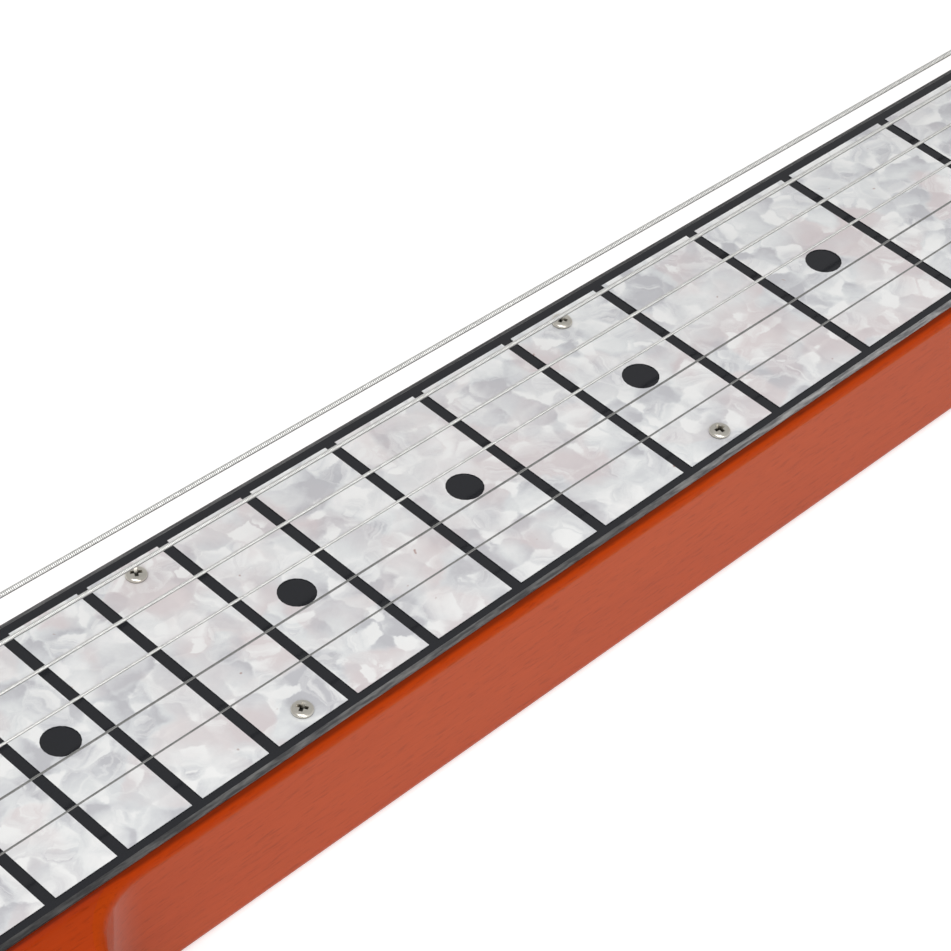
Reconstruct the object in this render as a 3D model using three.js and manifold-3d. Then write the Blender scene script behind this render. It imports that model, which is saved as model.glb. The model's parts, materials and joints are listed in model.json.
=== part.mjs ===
// Lap steel guitar: one mahogany block, an engraved fretboard, six strings and open-gear tuners.
// Millimetres, +X from the tail to the headstock, +Y to the bass side, +Z up from the flat back.
// The origin is under the middle of the bounding box, on the plane that the back rests on.

import * as THREE from 'three';
import { mergeVertices } from 'three/addons/utils/BufferGeometryUtils.js';
import Module from 'manifold-3d';

const wasm = await Module();
wasm.setup();

// Scale, overall lengths and heights
const scaleLength = 571.5;
const headLength = 168;
const tailLength = 80;
const bodyThickness = 31;
const headTop = 27.7;
const headBottom = 13.7;

// Clearances between pieces and the overrun of a cut
const fitGap = 0.3;
const touchGap = 0.2;
const overrun = 2;

// Fretboard: printed frets, engraved border and dots
const fretCount = 24;
const fretsPerOctave = 12;
const pearlHalfAtNut = 22.72;
const pearlHalfAtBridge = 30.92;
const pearlShift = -0.3;
const borderWidth = 1.7;
const boardBevelWidth = 1.1;
const boardBevelDrop = 0.35;
const boardThickness = 1.0;
const engraveDepth = 0.25;
const pearlBury = 0.25;
const lineWidth = 2.44;
const dotRadius = 3.75;
const dotCellShare = 0.33;
const dotFrets = [3, 5, 7, 9, 12, 15, 17, 19, 21, 24];
const nutBorder = 2.2;
const lastCellLength = 15;

// Neck and body plan
const neckMargin = 4.4;
const edgeRadius = 2.5;
const shoulderFret = 13;
const shoulderFilletRadius = 17;
const shoulderHalf = 86;
const shoulderRun = 42;
const shoulderSquareShare = 0.62;
const waistHalf = 82;
const waistShare = 0.42;
const tailHalf = 98;
const tailCornerRadius = 26;
const tailFlatRun = 14;
const sidePullShare = 0.45;

// Headstock plan and the ramp under its root
const headRoot = 14;
const headInset = 0.6;
const flareStart = 11;
const flareEnd = 32;
const flarePullShare = 0.5;
const headHalf = 37;
const tipHalf = 33;
const tipCornerRadius = 12;
const headEdgeRadius = 1.5;
const rampRadius = 30;
const rampStart = 10;

// Nut
const nutThickness = 5;
const nutShelf = 2;
const nutInset = 1.6;
const nutRest = 40.6;
const nutSlotDepth = 1.1;
const nutApex = 1.2;
const nutFallShare = 0.26;
const slotSideGap = 0.25;

// Strings, from the first (treble) to the sixth (bass)
const stringRadii = [0.18, 0.21, 0.27, 0.33, 0.43, 0.53];
const firstStringAtNut = -20.0;
const lastStringAtNut = 21.5;
const firstStringAtBridge = -25.35;
const lastStringAtBridge = 27.8;
const ballRadius = 1.9;
const ballLength = 3.4;
const wrapTurns = 1.75;
const wrapGap = 0.5;
const wrapSteps = 12;
const stringSides = 5;

// Bridge
const bridgeRest = 47.9;
const bridgeHalf = 42;
const bridgeFootFront = 12;
const bridgeFootThickness = 2.5;
const saddleWallThickness = 6.5;
const saddleRodRadius = 2.5;
const saddleRodHalf = 38;
const saddleSeatDepth = 1.6;
const anchorDistance = 26;
const anchorWallThickness = 5;
const anchorHoleHeight = 9.5;
const anchorHoleRadius = 1.3;
const anchorWallHeight = 13;
const bridgeFilletRadius = 3;

// Pickup
const pickupDistance = 52;
const pickupFloor = 24;
const pickupLength = 74;
const pickupWidth = 25;
const pickupCornerRadius = 4;
const pickupCoverTop = 43.4;
const pickupCoverWall = 1.0;
const pickupCoverEdge = 1.2;
const pickupBaseThickness = 1.5;
const pickupFrameMargin = 9;
const pickupFrameThickness = 2.6;
const pickupFrameCornerRadius = 6;
const cavityMargin = 2;
const bobbinLength = 68;
const bobbinWidth = 19;
const bobbinCoreLength = 56;
const bobbinCoreWidth = 7;
const bobbinFlange = 1.4;
const bobbinTopGap = 0.5;
const coilInset = 1.2;
const magnetLength = 50;
const magnetThickness = 3.2;

// Controls
const controlForward = 20;
const controlY = -66;
const controlPlateLength = 120;
const controlPlateWidth = 32;
const controlPlateThickness = 1.6;
const controlPlateCornerRadius = 7;
const controlLedge = 5;
const controlFloor = 5;
const potSpacing = 58;
const potCanRadius = 8.3;
const potCanHeight = 9.5;
const potBushingRadius = 4.6;
const potBushingProud = 4.5;
const shaftRadius = 3.0;
const shaftProud = 13.5;
const shaftDepth = 7;
const knobLift = 0.9;
const knobHeight = 16.5;
const knobRadius = 11;
const knobTopRadius = 9.6;
const knobFluteDepth = 0.45;
const knobFluteCount = 16;
const knobChamfer = 1.2;
const knobRecessRadius = 8.2;
const knobRecessDepth = 4.6;
const capacitorRadius = 3;
const capacitorLength = 16;
const capacitorLeadRadius = 0.4;
const channelRadius = 2.5;

// Output jack, in the tail
const jackY = -62;
const jackPlateLength = 36;
const jackPlateHeight = 23;
const jackPlateThickness = 1.6;
const jackPlateCornerRadius = 4;
const jackBoreRadius = 8.6;
const jackCanRadius = 7.6;
const jackCanLength = 28;
const jackBushingRadius = 4.7;
const jackSocketRadius = 3.3;
const jackSocketEndWall = 2;
const jackNutHeight = 2.2;
const jackNutAcross = 13;
const jackThreadProud = 0.9;

// Tuners: posts, gears, worms and buttons
const tunersPerSide = 3;
const firstPost = 46;
const postSpacing = 40;
const postY = 21;
const gearTeeth = 16;
const gearPitchRadius = 5.2;
const gearTipRadius = 5.75;
const gearRootRadius = 4.5;
const toothTipHalf = 0.2;
const toothRootHalf = 0.55;
const gearThickness = 3;
const wormPitchRadius = 2.6;
const wormCrestRadius = 3.05;
const wormCoreRadius = 1.8;
const wormBury = 0.4;
const wormTurns = 2.5;
const wormSteps = 8;
const wormCollarRadius = 2.6;
const wormCollarLength = 0.6;
const wormShaftRadius = 1.6;
const wormDrop = 3.9;
const tabInnerHalf = 4.6;
const tabThickness = 1.2;
const tabHalfWidth = 3.3;
const shaftInnerProud = 1.6;
const plateThickness = 1.2;
const plateInner = 9;
const plateOuter = 8;
const plateEnd = 12;
const plateCornerRadius = 4;
const postRadius = 3.0;
const postWaistRadius = 2.6;
const postCapRadius = 3.1;
const postStubRadius = 2.0;
const postCollarRadius = 3.9;
const postStubProud = 0.6;
const postBushingRise = 0.8;
const postWaistHeight = 6;
const postCapHeight = 2.4;
const postCapChamfer = 0.6;
const postHoleRadius = 0.9;
const bushingFlangeRadius = 5.6;
const bushingFlangeHeight = 1.8;
const bushingSleeveRadius = 4.6;
const bushingSleeveLength = 5;
const bushingChamfer = 0.6;
const headHoleRadius = 3.9;
const buttonGapToHead = 4;
const buttonLength = 17;
const buttonWidth = 14.8;
const buttonThickness = 5.6;
const buttonNeckHalf = 3.4;
const buttonEdge = 1.6;
const buttonShaftDepth = 10;

// Facet counts
const roundSides = 16;
const dotSides = 20;
const boreSides = 8;
const postSides = 10;
const bodyEdgeSteps = 4;
const edgeSteps = 2;
const arcSteps = 9;

// Places worked out from the sizes above
const jackReach = jackPlateThickness + jackNutHeight + jackThreadProud;
const overallLength = headLength + scaleLength + tailLength + jackReach;
const nutX = overallLength / 2 - headLength;
const tipX = nutX + headLength;
const bridgeX = nutX - scaleLength;
const tailX = bridgeX - tailLength;
const boardTop = bodyThickness + boardThickness;
const pickupX = bridgeX + pickupDistance;
const controlX = bridgeX + controlForward;
const jackZ = bodyThickness / 2;
const wormZ = headBottom - plateThickness - wormDrop;
const wormOffset = gearPitchRadius + wormPitchRadius;
const wormLead = 2 * Math.PI * gearPitchRadius / gearTeeth;
const stringCount = stringRadii.length;
const wrapBottom = headTop + bushingFlangeHeight + postBushingRise;

const fretDistance = (n) => scaleLength * (1 - 2 ** (-n / fretsPerOctave));
const pearlHalf = (d) => pearlHalfAtNut + (pearlHalfAtBridge - pearlHalfAtNut) * d / scaleLength;
const neckHalf = (d) => pearlHalf(d) + neckMargin;
const boardHalf = (d) => pearlHalf(d) + borderWidth + boardBevelWidth;
const postX = (row) => nutX + firstPost + row * postSpacing;
const mix = (a, b, share) => a + (b - a) * share;
const stringY = (i, share) => mix(
  mix(firstStringAtNut, lastStringAtNut, i / (stringCount - 1)),
  mix(firstStringAtBridge, lastStringAtBridge, i / (stringCount - 1)),
  share,
);

// Solids: closed meshes in, closed meshes out

function closedMesh(geometry) {
  const plain = geometry.index ? geometry.toNonIndexed() : geometry.clone();
  plain.deleteAttribute('normal');
  plain.deleteAttribute('uv');
  const merged = mergeVertices(plain);
  const index = merged.index.array;
  const kept = [];
  for (let i = 0; i < index.length; i += 3) {
    const [a, b, c] = [index[i], index[i + 1], index[i + 2]];
    if (a !== b && b !== c && c !== a) kept.push(a, b, c);
  }
  return { points: merged.attributes.position.array, faces: kept };
}

function signedVolume({ points, faces }) {
  const corner = (i) => new THREE.Vector3().fromArray(points, 3 * i);
  let sum = 0;
  for (let i = 0; i < faces.length; i += 3) {
    sum += corner(faces[i]).dot(corner(faces[i + 1]).cross(corner(faces[i + 2])));
  }
  return sum;
}

function solid(geometry) {
  const mesh = closedMesh(geometry);
  if (signedVolume(mesh) < 0) mesh.faces.reverse();
  return new wasm.Manifold(new wasm.Mesh({
    numProp: 3,
    vertProperties: Float32Array.from(mesh.points),
    triVerts: Uint32Array.from(mesh.faces),
  }));
}

function surface(manifold) {
  const mesh = manifold.getMesh();
  const geometry = new THREE.BufferGeometry();
  geometry.setAttribute('position', new THREE.BufferAttribute(mesh.vertProperties, 3));
  geometry.setIndex(new THREE.BufferAttribute(mesh.triVerts, 1));
  return geometry;
}

const join = (first, ...others) => others.reduce((sum, g) => sum.add(solid(g)), solid(first));
const cut = (manifold, ...others) => others.reduce((rest, g) => rest.subtract(solid(g)), manifold);

// Shapes

function arc(cx, cy, radius, from, to, steps = arcSteps) {
  const points = [];
  for (let i = 0; i <= steps; i += 1) {
    const angle = mix(from, to, i / steps);
    points.push(new THREE.Vector2(cx + radius * Math.cos(angle), cy + radius * Math.sin(angle)));
  }
  return points;
}

function bend(from, pullFrom, pullTo, to, steps = arcSteps) {
  const curve = new THREE.CubicBezierCurve(from, pullFrom, pullTo, to);
  return curve.getPoints(steps);
}

function mirrored(half) {
  const other = half.map((p) => new THREE.Vector2(p.x, -p.y)).reverse();
  return new THREE.Shape([...half, ...other]);
}

function roundedRectangle(width, height, radius, steps = 3) {
  const [x, y] = [width / 2 - radius, height / 2 - radius];
  const quarter = Math.PI / 2;
  return new THREE.Shape([
    ...arc(x, y, radius, 0, quarter, steps),
    ...arc(-x, y, radius, quarter, 2 * quarter, steps),
    ...arc(-x, -y, radius, 2 * quarter, 3 * quarter, steps),
    ...arc(x, -y, radius, 3 * quarter, 4 * quarter, steps),
  ]);
}

function disc(radius, sides, x = 0, y = 0) {
  const points = [];
  for (let i = 0; i < sides; i += 1) {
    const angle = 2 * Math.PI * i / sides;
    points.push(new THREE.Vector2(x + radius * Math.cos(angle), y + radius * Math.sin(angle)));
  }
  return points;
}

function withHoles(shape, ...holes) {
  holes.forEach((points) => shape.holes.push(new THREE.Path(points)));
  return shape;
}

// A prism from z = low to z = high
function prism(shape, low, high) {
  const geometry = new THREE.ExtrudeGeometry(shape, { depth: high - low, bevelEnabled: false });
  return geometry.translate(0, 0, low);
}

// A prism whose top and bottom edges are rounded
function softPrism(shape, low, high, radius, steps = edgeSteps) {
  const geometry = new THREE.ExtrudeGeometry(shape, {
    depth: high - low - 2 * radius,
    bevelEnabled: true,
    bevelThickness: radius,
    bevelSize: radius,
    bevelOffset: -radius,
    bevelSegments: steps,
  });
  return geometry.translate(0, 0, low + radius);
}

// A side view in x and z, extruded from y = low to y = high
function sidePrism(points, low, high) {
  const geometry = prism(new THREE.Shape(points), -high, -low);
  return geometry.rotateX(Math.PI / 2);
}

// A turned solid: a profile of [radius, height] about the z axis
function turned(profile, sides = roundSides) {
  const points = profile.map(([r, h]) => new THREE.Vector2(r, h));
  return new THREE.LatheGeometry(points, sides).rotateX(Math.PI / 2);
}

const rod = (radius, low, high, sides = roundSides) => turned(
  [[0, low], [radius, low], [radius, high], [0, high]],
  sides,
);

// A round hole with few sides, whose flats keep the whole radius clear
const bore = (radius, low, high, sides = boreSides) => rod(
  radius / Math.cos(Math.PI / sides),
  low,
  high,
  sides,
);

const alongX = (geometry) => geometry.rotateY(Math.PI / 2);
const alongY = (geometry) => geometry.rotateX(-Math.PI / 2);

// A closed solid through rings with the same number of points
function loft(rings) {
  const count = rings[0].length;
  const position = rings.flat().flatMap((p) => [p.x, p.y, p.z]);
  const faces = [];
  for (let r = 0; r < rings.length - 1; r += 1) {
    for (let i = 0; i < count; i += 1) {
      const a = r * count + i;
      const b = r * count + (i + 1) % count;
      faces.push(a, b, b + count, a, b + count, a + count);
    }
  }
  const last = (rings.length - 1) * count;
  const cap = THREE.ShapeUtils.triangulateShape(rings[0].map((p) => p.flat ?? p), []);
  cap.forEach(([a, b, c]) => faces.push(c, b, a, last + a, last + b, last + c));
  const geometry = new THREE.BufferGeometry();
  geometry.setAttribute('position', new THREE.Float32BufferAttribute(position, 3));
  geometry.setIndex(faces);
  return geometry;
}

// A tube through a list of points, with the same section all along
function tube(points, radius, sides) {
  const tangents = points.map((p, i) => {
    const before = points[Math.max(i - 1, 0)];
    const after = points[Math.min(i + 1, points.length - 1)];
    return after.clone().sub(before).normalize();
  });
  let normal = new THREE.Vector3(0, 0, 1);
  const rings = points.map((p, i) => {
    normal = normal.clone().addScaledVector(tangents[i], -normal.dot(tangents[i])).normalize();
    const side = new THREE.Vector3().crossVectors(tangents[i], normal);
    return disc(radius, sides).map((q) => {
      const point = p.clone().addScaledVector(normal, q.x).addScaledVector(side, q.y);
      point.flat = q;
      return point;
    });
  });
  return loft(rings);
}

function mirrorY(geometry) {
  return geometry.clone().scale(1, -1, 1);
}

// The finished model

const guitar = new THREE.Group();

function finish(color, roughness, metalness = 0) {
  return new THREE.MeshStandardMaterial({ color, roughness, metalness });
}

const mahogany = finish(0xb2451f, 0.25);
const pearl = finish(0xe6e6ea, 0.2);
const bone = finish(0xe8e2d0, 0.45);
const chrome = finish(0xd8dadc, 0.12, 1);
const nickel = finish(0xc9c7c0, 0.3, 1);
const steel = finish(0xb4b4b2, 0.35, 1);
const brass = finish(0xc8a45a, 0.35, 1);
const copper = finish(0xa85a34, 0.45, 0.8);
const magnetGrey = finish(0x5a5a5c, 0.5, 0.8);
const blackPlastic = finish(0x1b1b1d, 0.35);
const creamPlastic = finish(0xe9ddbf, 0.3);
const brownLacquer = finish(0x7a3b20, 0.4);

function add(name, manifold, material) {
  const mesh = new THREE.Mesh(surface(manifold), material);
  mesh.name = name;
  guitar.add(mesh);
}

// Body, neck and headstock: one block

function bodyPlan() {
  const shoulderX = nutX - fretDistance(shoulderFret);
  const filletX = shoulderX + shoulderFilletRadius;
  const filletY = neckHalf(nutX - filletX) + shoulderFilletRadius;
  const neckEnd = nutX + nutThickness + nutShelf;
  const sideStart = new THREE.Vector2(shoulderX - shoulderRun, shoulderHalf);
  const sideEnd = new THREE.Vector2(tailX + tailCornerRadius + tailFlatRun, tailHalf);
  const waist = new THREE.Vector2(mix(sideStart.x, sideEnd.x, waistShare), waistHalf);
  const pull = (from, to) => new THREE.Vector2(mix(from.x, to.x, sidePullShare), from.y);
  const shoulderPull = mix(filletY, shoulderHalf, shoulderSquareShare);
  return mirrored([
    ...arc(tailX + tailCornerRadius, tailHalf - tailCornerRadius, tailCornerRadius, Math.PI, Math.PI / 2),
    ...bend(sideEnd, pull(sideEnd, waist), pull(waist, sideEnd), waist, arcSteps),
    ...bend(waist, pull(waist, sideStart), pull(sideStart, waist), sideStart, arcSteps).slice(1),
    ...bend(
      sideStart,
      new THREE.Vector2(mix(sideStart.x, shoulderX, shoulderSquareShare), shoulderHalf),
      new THREE.Vector2(shoulderX, shoulderPull),
      new THREE.Vector2(shoulderX, filletY),
      arcSteps,
    ).slice(1),
    ...arc(filletX, filletY, shoulderFilletRadius, Math.PI, 3 * Math.PI / 2).slice(1),
    new THREE.Vector2(neckEnd, neckHalf(nutX - neckEnd)),
  ]);
}

function headPlan() {
  const rootHalf = neckHalf(0) - headInset;
  const flareFrom = new THREE.Vector2(nutX + flareStart, rootHalf);
  const flareTo = new THREE.Vector2(nutX + flareEnd, headHalf);
  const flareMiddle = mix(flareFrom.x, flareTo.x, flarePullShare);
  return mirrored([
    new THREE.Vector2(nutX - headRoot, rootHalf),
    ...bend(
      flareFrom,
      new THREE.Vector2(flareMiddle, rootHalf),
      new THREE.Vector2(flareMiddle, headHalf),
      flareTo,
      arcSteps,
    ),
    ...arc(tipX - tipCornerRadius, tipHalf - tipCornerRadius, tipCornerRadius, Math.PI / 2, 0),
  ]);
}

// What is cut away under the headstock's root, as a side view
function rampCut() {
  const centreX = nutX + rampStart;
  const centreZ = headBottom - rampRadius;
  const reach = neckHalf(0) + overrun;
  const start = Math.PI - Math.asin((-overrun - centreZ) / rampRadius);
  const far = centreX + rampRadius;
  const points = [
    ...arc(centreX, centreZ, rampRadius, start, Math.PI / 2),
    new THREE.Vector2(far, headBottom),
    new THREE.Vector2(far, -overrun),
  ];
  return sidePrism(points, -reach, reach);
}

function controlCavityLength() {
  return controlPlateLength - 2 * controlLedge;
}

function buildBody() {
  const neckBlock = cut(solid(softPrism(bodyPlan(), 0, bodyThickness, edgeRadius, bodyEdgeSteps)), rampCut());
  const head = solid(softPrism(headPlan(), headBottom, headTop, headEdgeRadius));
  const above = bodyThickness + overrun;
  const pickupCavity = prism(
    roundedRectangle(pickupWidth + 2 * cavityMargin, pickupLength + 2 * cavityMargin, pickupCornerRadius),
    pickupFloor,
    above,
  ).translate(pickupX, 0, 0);
  const controlCavity = prism(
    roundedRectangle(controlCavityLength(), controlPlateWidth - 2 * controlLedge, pickupCornerRadius),
    controlFloor,
    above,
  ).translate(controlX, controlY, 0);
  const jackBoreLength = controlX - controlCavityLength() / 2 - tailX + overrun;
  const jackBore = alongX(rod(jackBoreRadius, -overrun, jackBoreLength)).translate(tailX, jackY, jackZ);
  const channelZ = pickupFloor + channelRadius;
  const wireChannel = alongY(bore(channelRadius, 0, -controlY)).translate(pickupX, controlY, channelZ);
  const posts = [];
  for (const side of [1, -1]) {
    for (let row = 0; row < tunersPerSide; row += 1) {
      const place = [postX(row), side * postY, 0];
      const counterbore = headTop - bushingSleeveLength - fitGap;
      posts.push(bore(headHoleRadius, headBottom - overrun, headTop).translate(...place));
      posts.push(bore(bushingSleeveRadius + fitGap, counterbore, headTop + overrun).translate(...place));
    }
  }
  add('body_neck', cut(neckBlock.add(head), pickupCavity, controlCavity, jackBore, wireChannel, ...posts), mahogany);
}

// Fretboard: a black sheet with a bevelled edge and raised pearl cells

function boardLength() {
  return fretDistance(fretCount) + lineWidth / 2 + lastCellLength + borderWidth + boardBevelWidth;
}

function buildFretboard() {
  const length = boardLength();
  const corners = (inset, z) => {
    const start = nutX - fitGap;
    const end = nutX - length + inset;
    const wide = boardHalf(length) - inset;
    const narrow = boardHalf(0) - inset;
    return [[end, -wide], [start, -narrow], [start, narrow], [end, wide]].map(
      ([x, y]) => new THREE.Vector3(x, y, z),
    );
  };
  const blackTop = boardTop - engraveDepth;
  let board = solid(loft([
    corners(0, bodyThickness),
    corners(0, blackTop - boardBevelDrop),
    corners(boardBevelWidth, blackTop),
  ]));
  const lineHalf = lineWidth / 2;
  const lastEdge = length - borderWidth - boardBevelWidth;
  for (let n = 1; n <= fretCount + 1; n += 1) {
    const from = n === 1 ? nutBorder : fretDistance(n - 1) + lineHalf;
    const to = n > fretCount ? lastEdge : fretDistance(n) - lineHalf;
    const cell = new THREE.Shape([
      new THREE.Vector2(nutX - to, pearlShift - pearlHalf(to)),
      new THREE.Vector2(nutX - from, pearlShift - pearlHalf(from)),
      new THREE.Vector2(nutX - from, pearlShift + pearlHalf(from)),
      new THREE.Vector2(nutX - to, pearlShift + pearlHalf(to)),
    ]);
    if (dotFrets.includes(n)) {
      const middle = (fretDistance(n - 1) + fretDistance(n)) / 2;
      const radius = Math.min(dotRadius, dotCellShare * (to - from));
      cell.holes.push(new THREE.Path(disc(radius, dotSides, nutX - middle, pearlShift)));
    }
    board = board.add(solid(prism(cell, blackTop - pearlBury, boardTop)));
  }
  add('fretboard', board, pearl);
}

// Where each string bends over the nut and where its turns on the post begin

// Strings 1 to 3 go to the treble posts and 4 to 6 to the bass posts, the outer ones nearest the nut
function postOf(i) {
  const bass = i >= stringCount / 2;
  return { side: bass ? 1 : -1, row: bass ? stringCount - 1 - i : i };
}

function nutPoint(i) {
  return new THREE.Vector3(nutX + nutApex / 2, stringY(i, 0), nutRest + touchGap + stringRadii[i]);
}

function wrapOf(i) {
  const { side, row } = postOf(i);
  const centre = new THREE.Vector2(postX(row), side * postY);
  const wrapRadius = (postWaistRadius + fitGap + stringRadii[i]) / Math.cos(Math.PI / wrapSteps);
  const from = nutPoint(i);
  const toNut = new THREE.Vector2(from.x - centre.x, from.y - centre.y);
  const start = toNut.angle() + side * Math.acos(wrapRadius / toNut.length());
  return { side, centre, wrapRadius, start };
}

// Nut: one slot for each string, falling away behind the apex

function buildNut() {
  const half = neckHalf(0) - nutInset;
  const top = nutRest + nutSlotDepth;
  const back = nutX + nutThickness;
  const fall = (nutThickness - nutApex) * nutFallShare;
  const profile = [
    [nutX, bodyThickness],
    [back, bodyThickness],
    [back, top - fall],
    [nutX + nutApex, top],
    [nutX, top],
  ].map(([x, z]) => new THREE.Vector2(x, z));
  const slots = stringRadii.map((radius, i) => {
    const bendPoint = nutPoint(i);
    const { start, centre, wrapRadius } = wrapOf(i);
    const leaveY = centre.y + wrapRadius * Math.sin(start) - bendPoint.y;
    const leaveX = centre.x + wrapRadius * Math.cos(start) - bendPoint.x;
    const reach = radius + slotSideGap;
    const floor = [
      [nutX - overrun, nutRest],
      [nutX + nutApex, nutRest],
      [back + overrun, nutRest - (nutThickness + overrun - nutApex) * nutFallShare],
      [back + overrun, top + overrun],
      [nutX - overrun, top + overrun],
    ].map(([x, z]) => new THREE.Vector2(x - bendPoint.x, z));
    const slot = sidePrism(floor, -reach, reach).rotateZ(Math.atan2(leaveY, leaveX));
    return slot.translate(bendPoint.x, bendPoint.y, 0);
  });
  add('nut', cut(solid(sidePrism(profile, -half, half)), ...slots), bone);
}

// Bridge: a foot, a saddle wall with a rod on top and an anchor wall for the ball ends

const bridgeFootTop = bodyThickness + bridgeFootThickness;
const anchorX = bridgeX - anchorDistance;
const anchorHoleZ = bodyThickness + anchorHoleHeight;
const saddleRodZ = bridgeRest - saddleRodRadius;

function buildBridge() {
  const footBack = anchorX - anchorWallThickness;
  const footFront = bridgeX + bridgeFootFront;
  const halfWall = saddleWallThickness / 2;
  const wallTop = saddleRodZ + saddleRodRadius - saddleSeatDepth;
  const r = bridgeFilletRadius;
  const profile = [
    new THREE.Vector2(footBack, bodyThickness),
    new THREE.Vector2(footFront, bodyThickness),
    new THREE.Vector2(footFront, bridgeFootTop),
    ...arc(bridgeX + halfWall + r, bridgeFootTop + r, r, -Math.PI / 2, -Math.PI, 4),
    new THREE.Vector2(bridgeX + halfWall, wallTop),
    new THREE.Vector2(bridgeX - halfWall, wallTop),
    ...arc(bridgeX - halfWall - r, bridgeFootTop + r, r, 0, -Math.PI / 2, 4),
    ...arc(anchorX + r, bridgeFootTop + r, r, -Math.PI / 2, -Math.PI, 4),
    ...arc(
      anchorX - anchorWallThickness / 2,
      bodyThickness + anchorWallHeight - anchorWallThickness / 2,
      anchorWallThickness / 2,
      0,
      Math.PI,
      6,
    ),
  ];
  const seat = alongY(rod(saddleRodRadius + touchGap, -bridgeHalf - overrun, bridgeHalf + overrun));
  const holes = stringRadii.map((_, i) => {
    const hole = alongX(bore(anchorHoleRadius, -anchorWallThickness - overrun, overrun));
    return hole.translate(anchorX, stringY(i, 1), anchorHoleZ);
  });
  const base = solid(sidePrism(profile, -bridgeHalf, bridgeHalf));
  add('bridge_base', cut(base, seat.translate(bridgeX, 0, saddleRodZ), ...holes), chrome);
  const saddle = alongY(rod(saddleRodRadius, -saddleRodHalf, saddleRodHalf));
  add('saddle_rod', solid(saddle.translate(bridgeX, 0, saddleRodZ)), steel);
}

// Strings: ball end, saddle, nut and the turns on the post, as one tube each

function stringPoints(i) {
  const radius = stringRadii[i];
  const yBridge = stringY(i, 1);
  const points = [];
  const anchorBack = anchorX - anchorWallThickness - touchGap - ballLength / 2;
  const leave = anchorX + radius;
  points.push(new THREE.Vector3(anchorBack, yBridge, anchorHoleZ));
  points.push(new THREE.Vector3(leave, yBridge, anchorHoleZ));
  const lift = saddleRodRadius + touchGap + radius;
  const slope = Math.atan2(saddleRodZ + lift - anchorHoleZ, bridgeX - leave);
  const roundShares = [1, 0.5, 0];
  roundShares.forEach((share) => {
    const angle = Math.PI / 2 + slope * share;
    const x = bridgeX + lift * Math.cos(angle);
    points.push(new THREE.Vector3(x, yBridge, saddleRodZ + lift * Math.sin(angle)));
  });
  points.push(nutPoint(i));

  // The turns climb the post from where the string meets it
  const { side, centre, wrapRadius, start } = wrapOf(i);
  const pitch = 2 * radius + wrapGap;
  const bottom = wrapBottom + fitGap + radius;
  const steps = Math.round(wrapTurns * wrapSteps);
  for (let k = 0; k <= steps; k += 1) {
    const angle = start + side * 2 * Math.PI * k / wrapSteps;
    points.push(new THREE.Vector3(
      centre.x + wrapRadius * Math.cos(angle),
      centre.y + wrapRadius * Math.sin(angle),
      bottom + pitch * k / wrapSteps,
    ));
  }
  return points;
}

// The least gap between stretches of one string that are half a turn or more apart along it
function leastGap(points, radius) {
  let least = Infinity;
  for (let a = 0; a < points.length; a += 1) {
    for (let b = a + wrapSteps / 2; b < points.length; b += 1) {
      least = Math.min(least, points[a].distanceTo(points[b]) - 2 * radius);
    }
  }
  return least;
}

function buildStrings() {
  stringRadii.forEach((radius, i) => {
    const points = stringPoints(i);
    console.log(`string_${i + 1}: least gap to itself ${leastGap(points, radius).toFixed(2)} mm`);
    const ball = alongX(rod(ballRadius, -ballLength / 2, ballLength / 2, 10));
    ball.translate(points[0].x, points[0].y, points[0].z);
    add(`string_${i + 1}`, join(tube(points, radius, stringSides), ball), steel);
  });
}

// Pickup: base plate, bobbin, coil and magnet under a metal cover, in a frame

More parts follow.
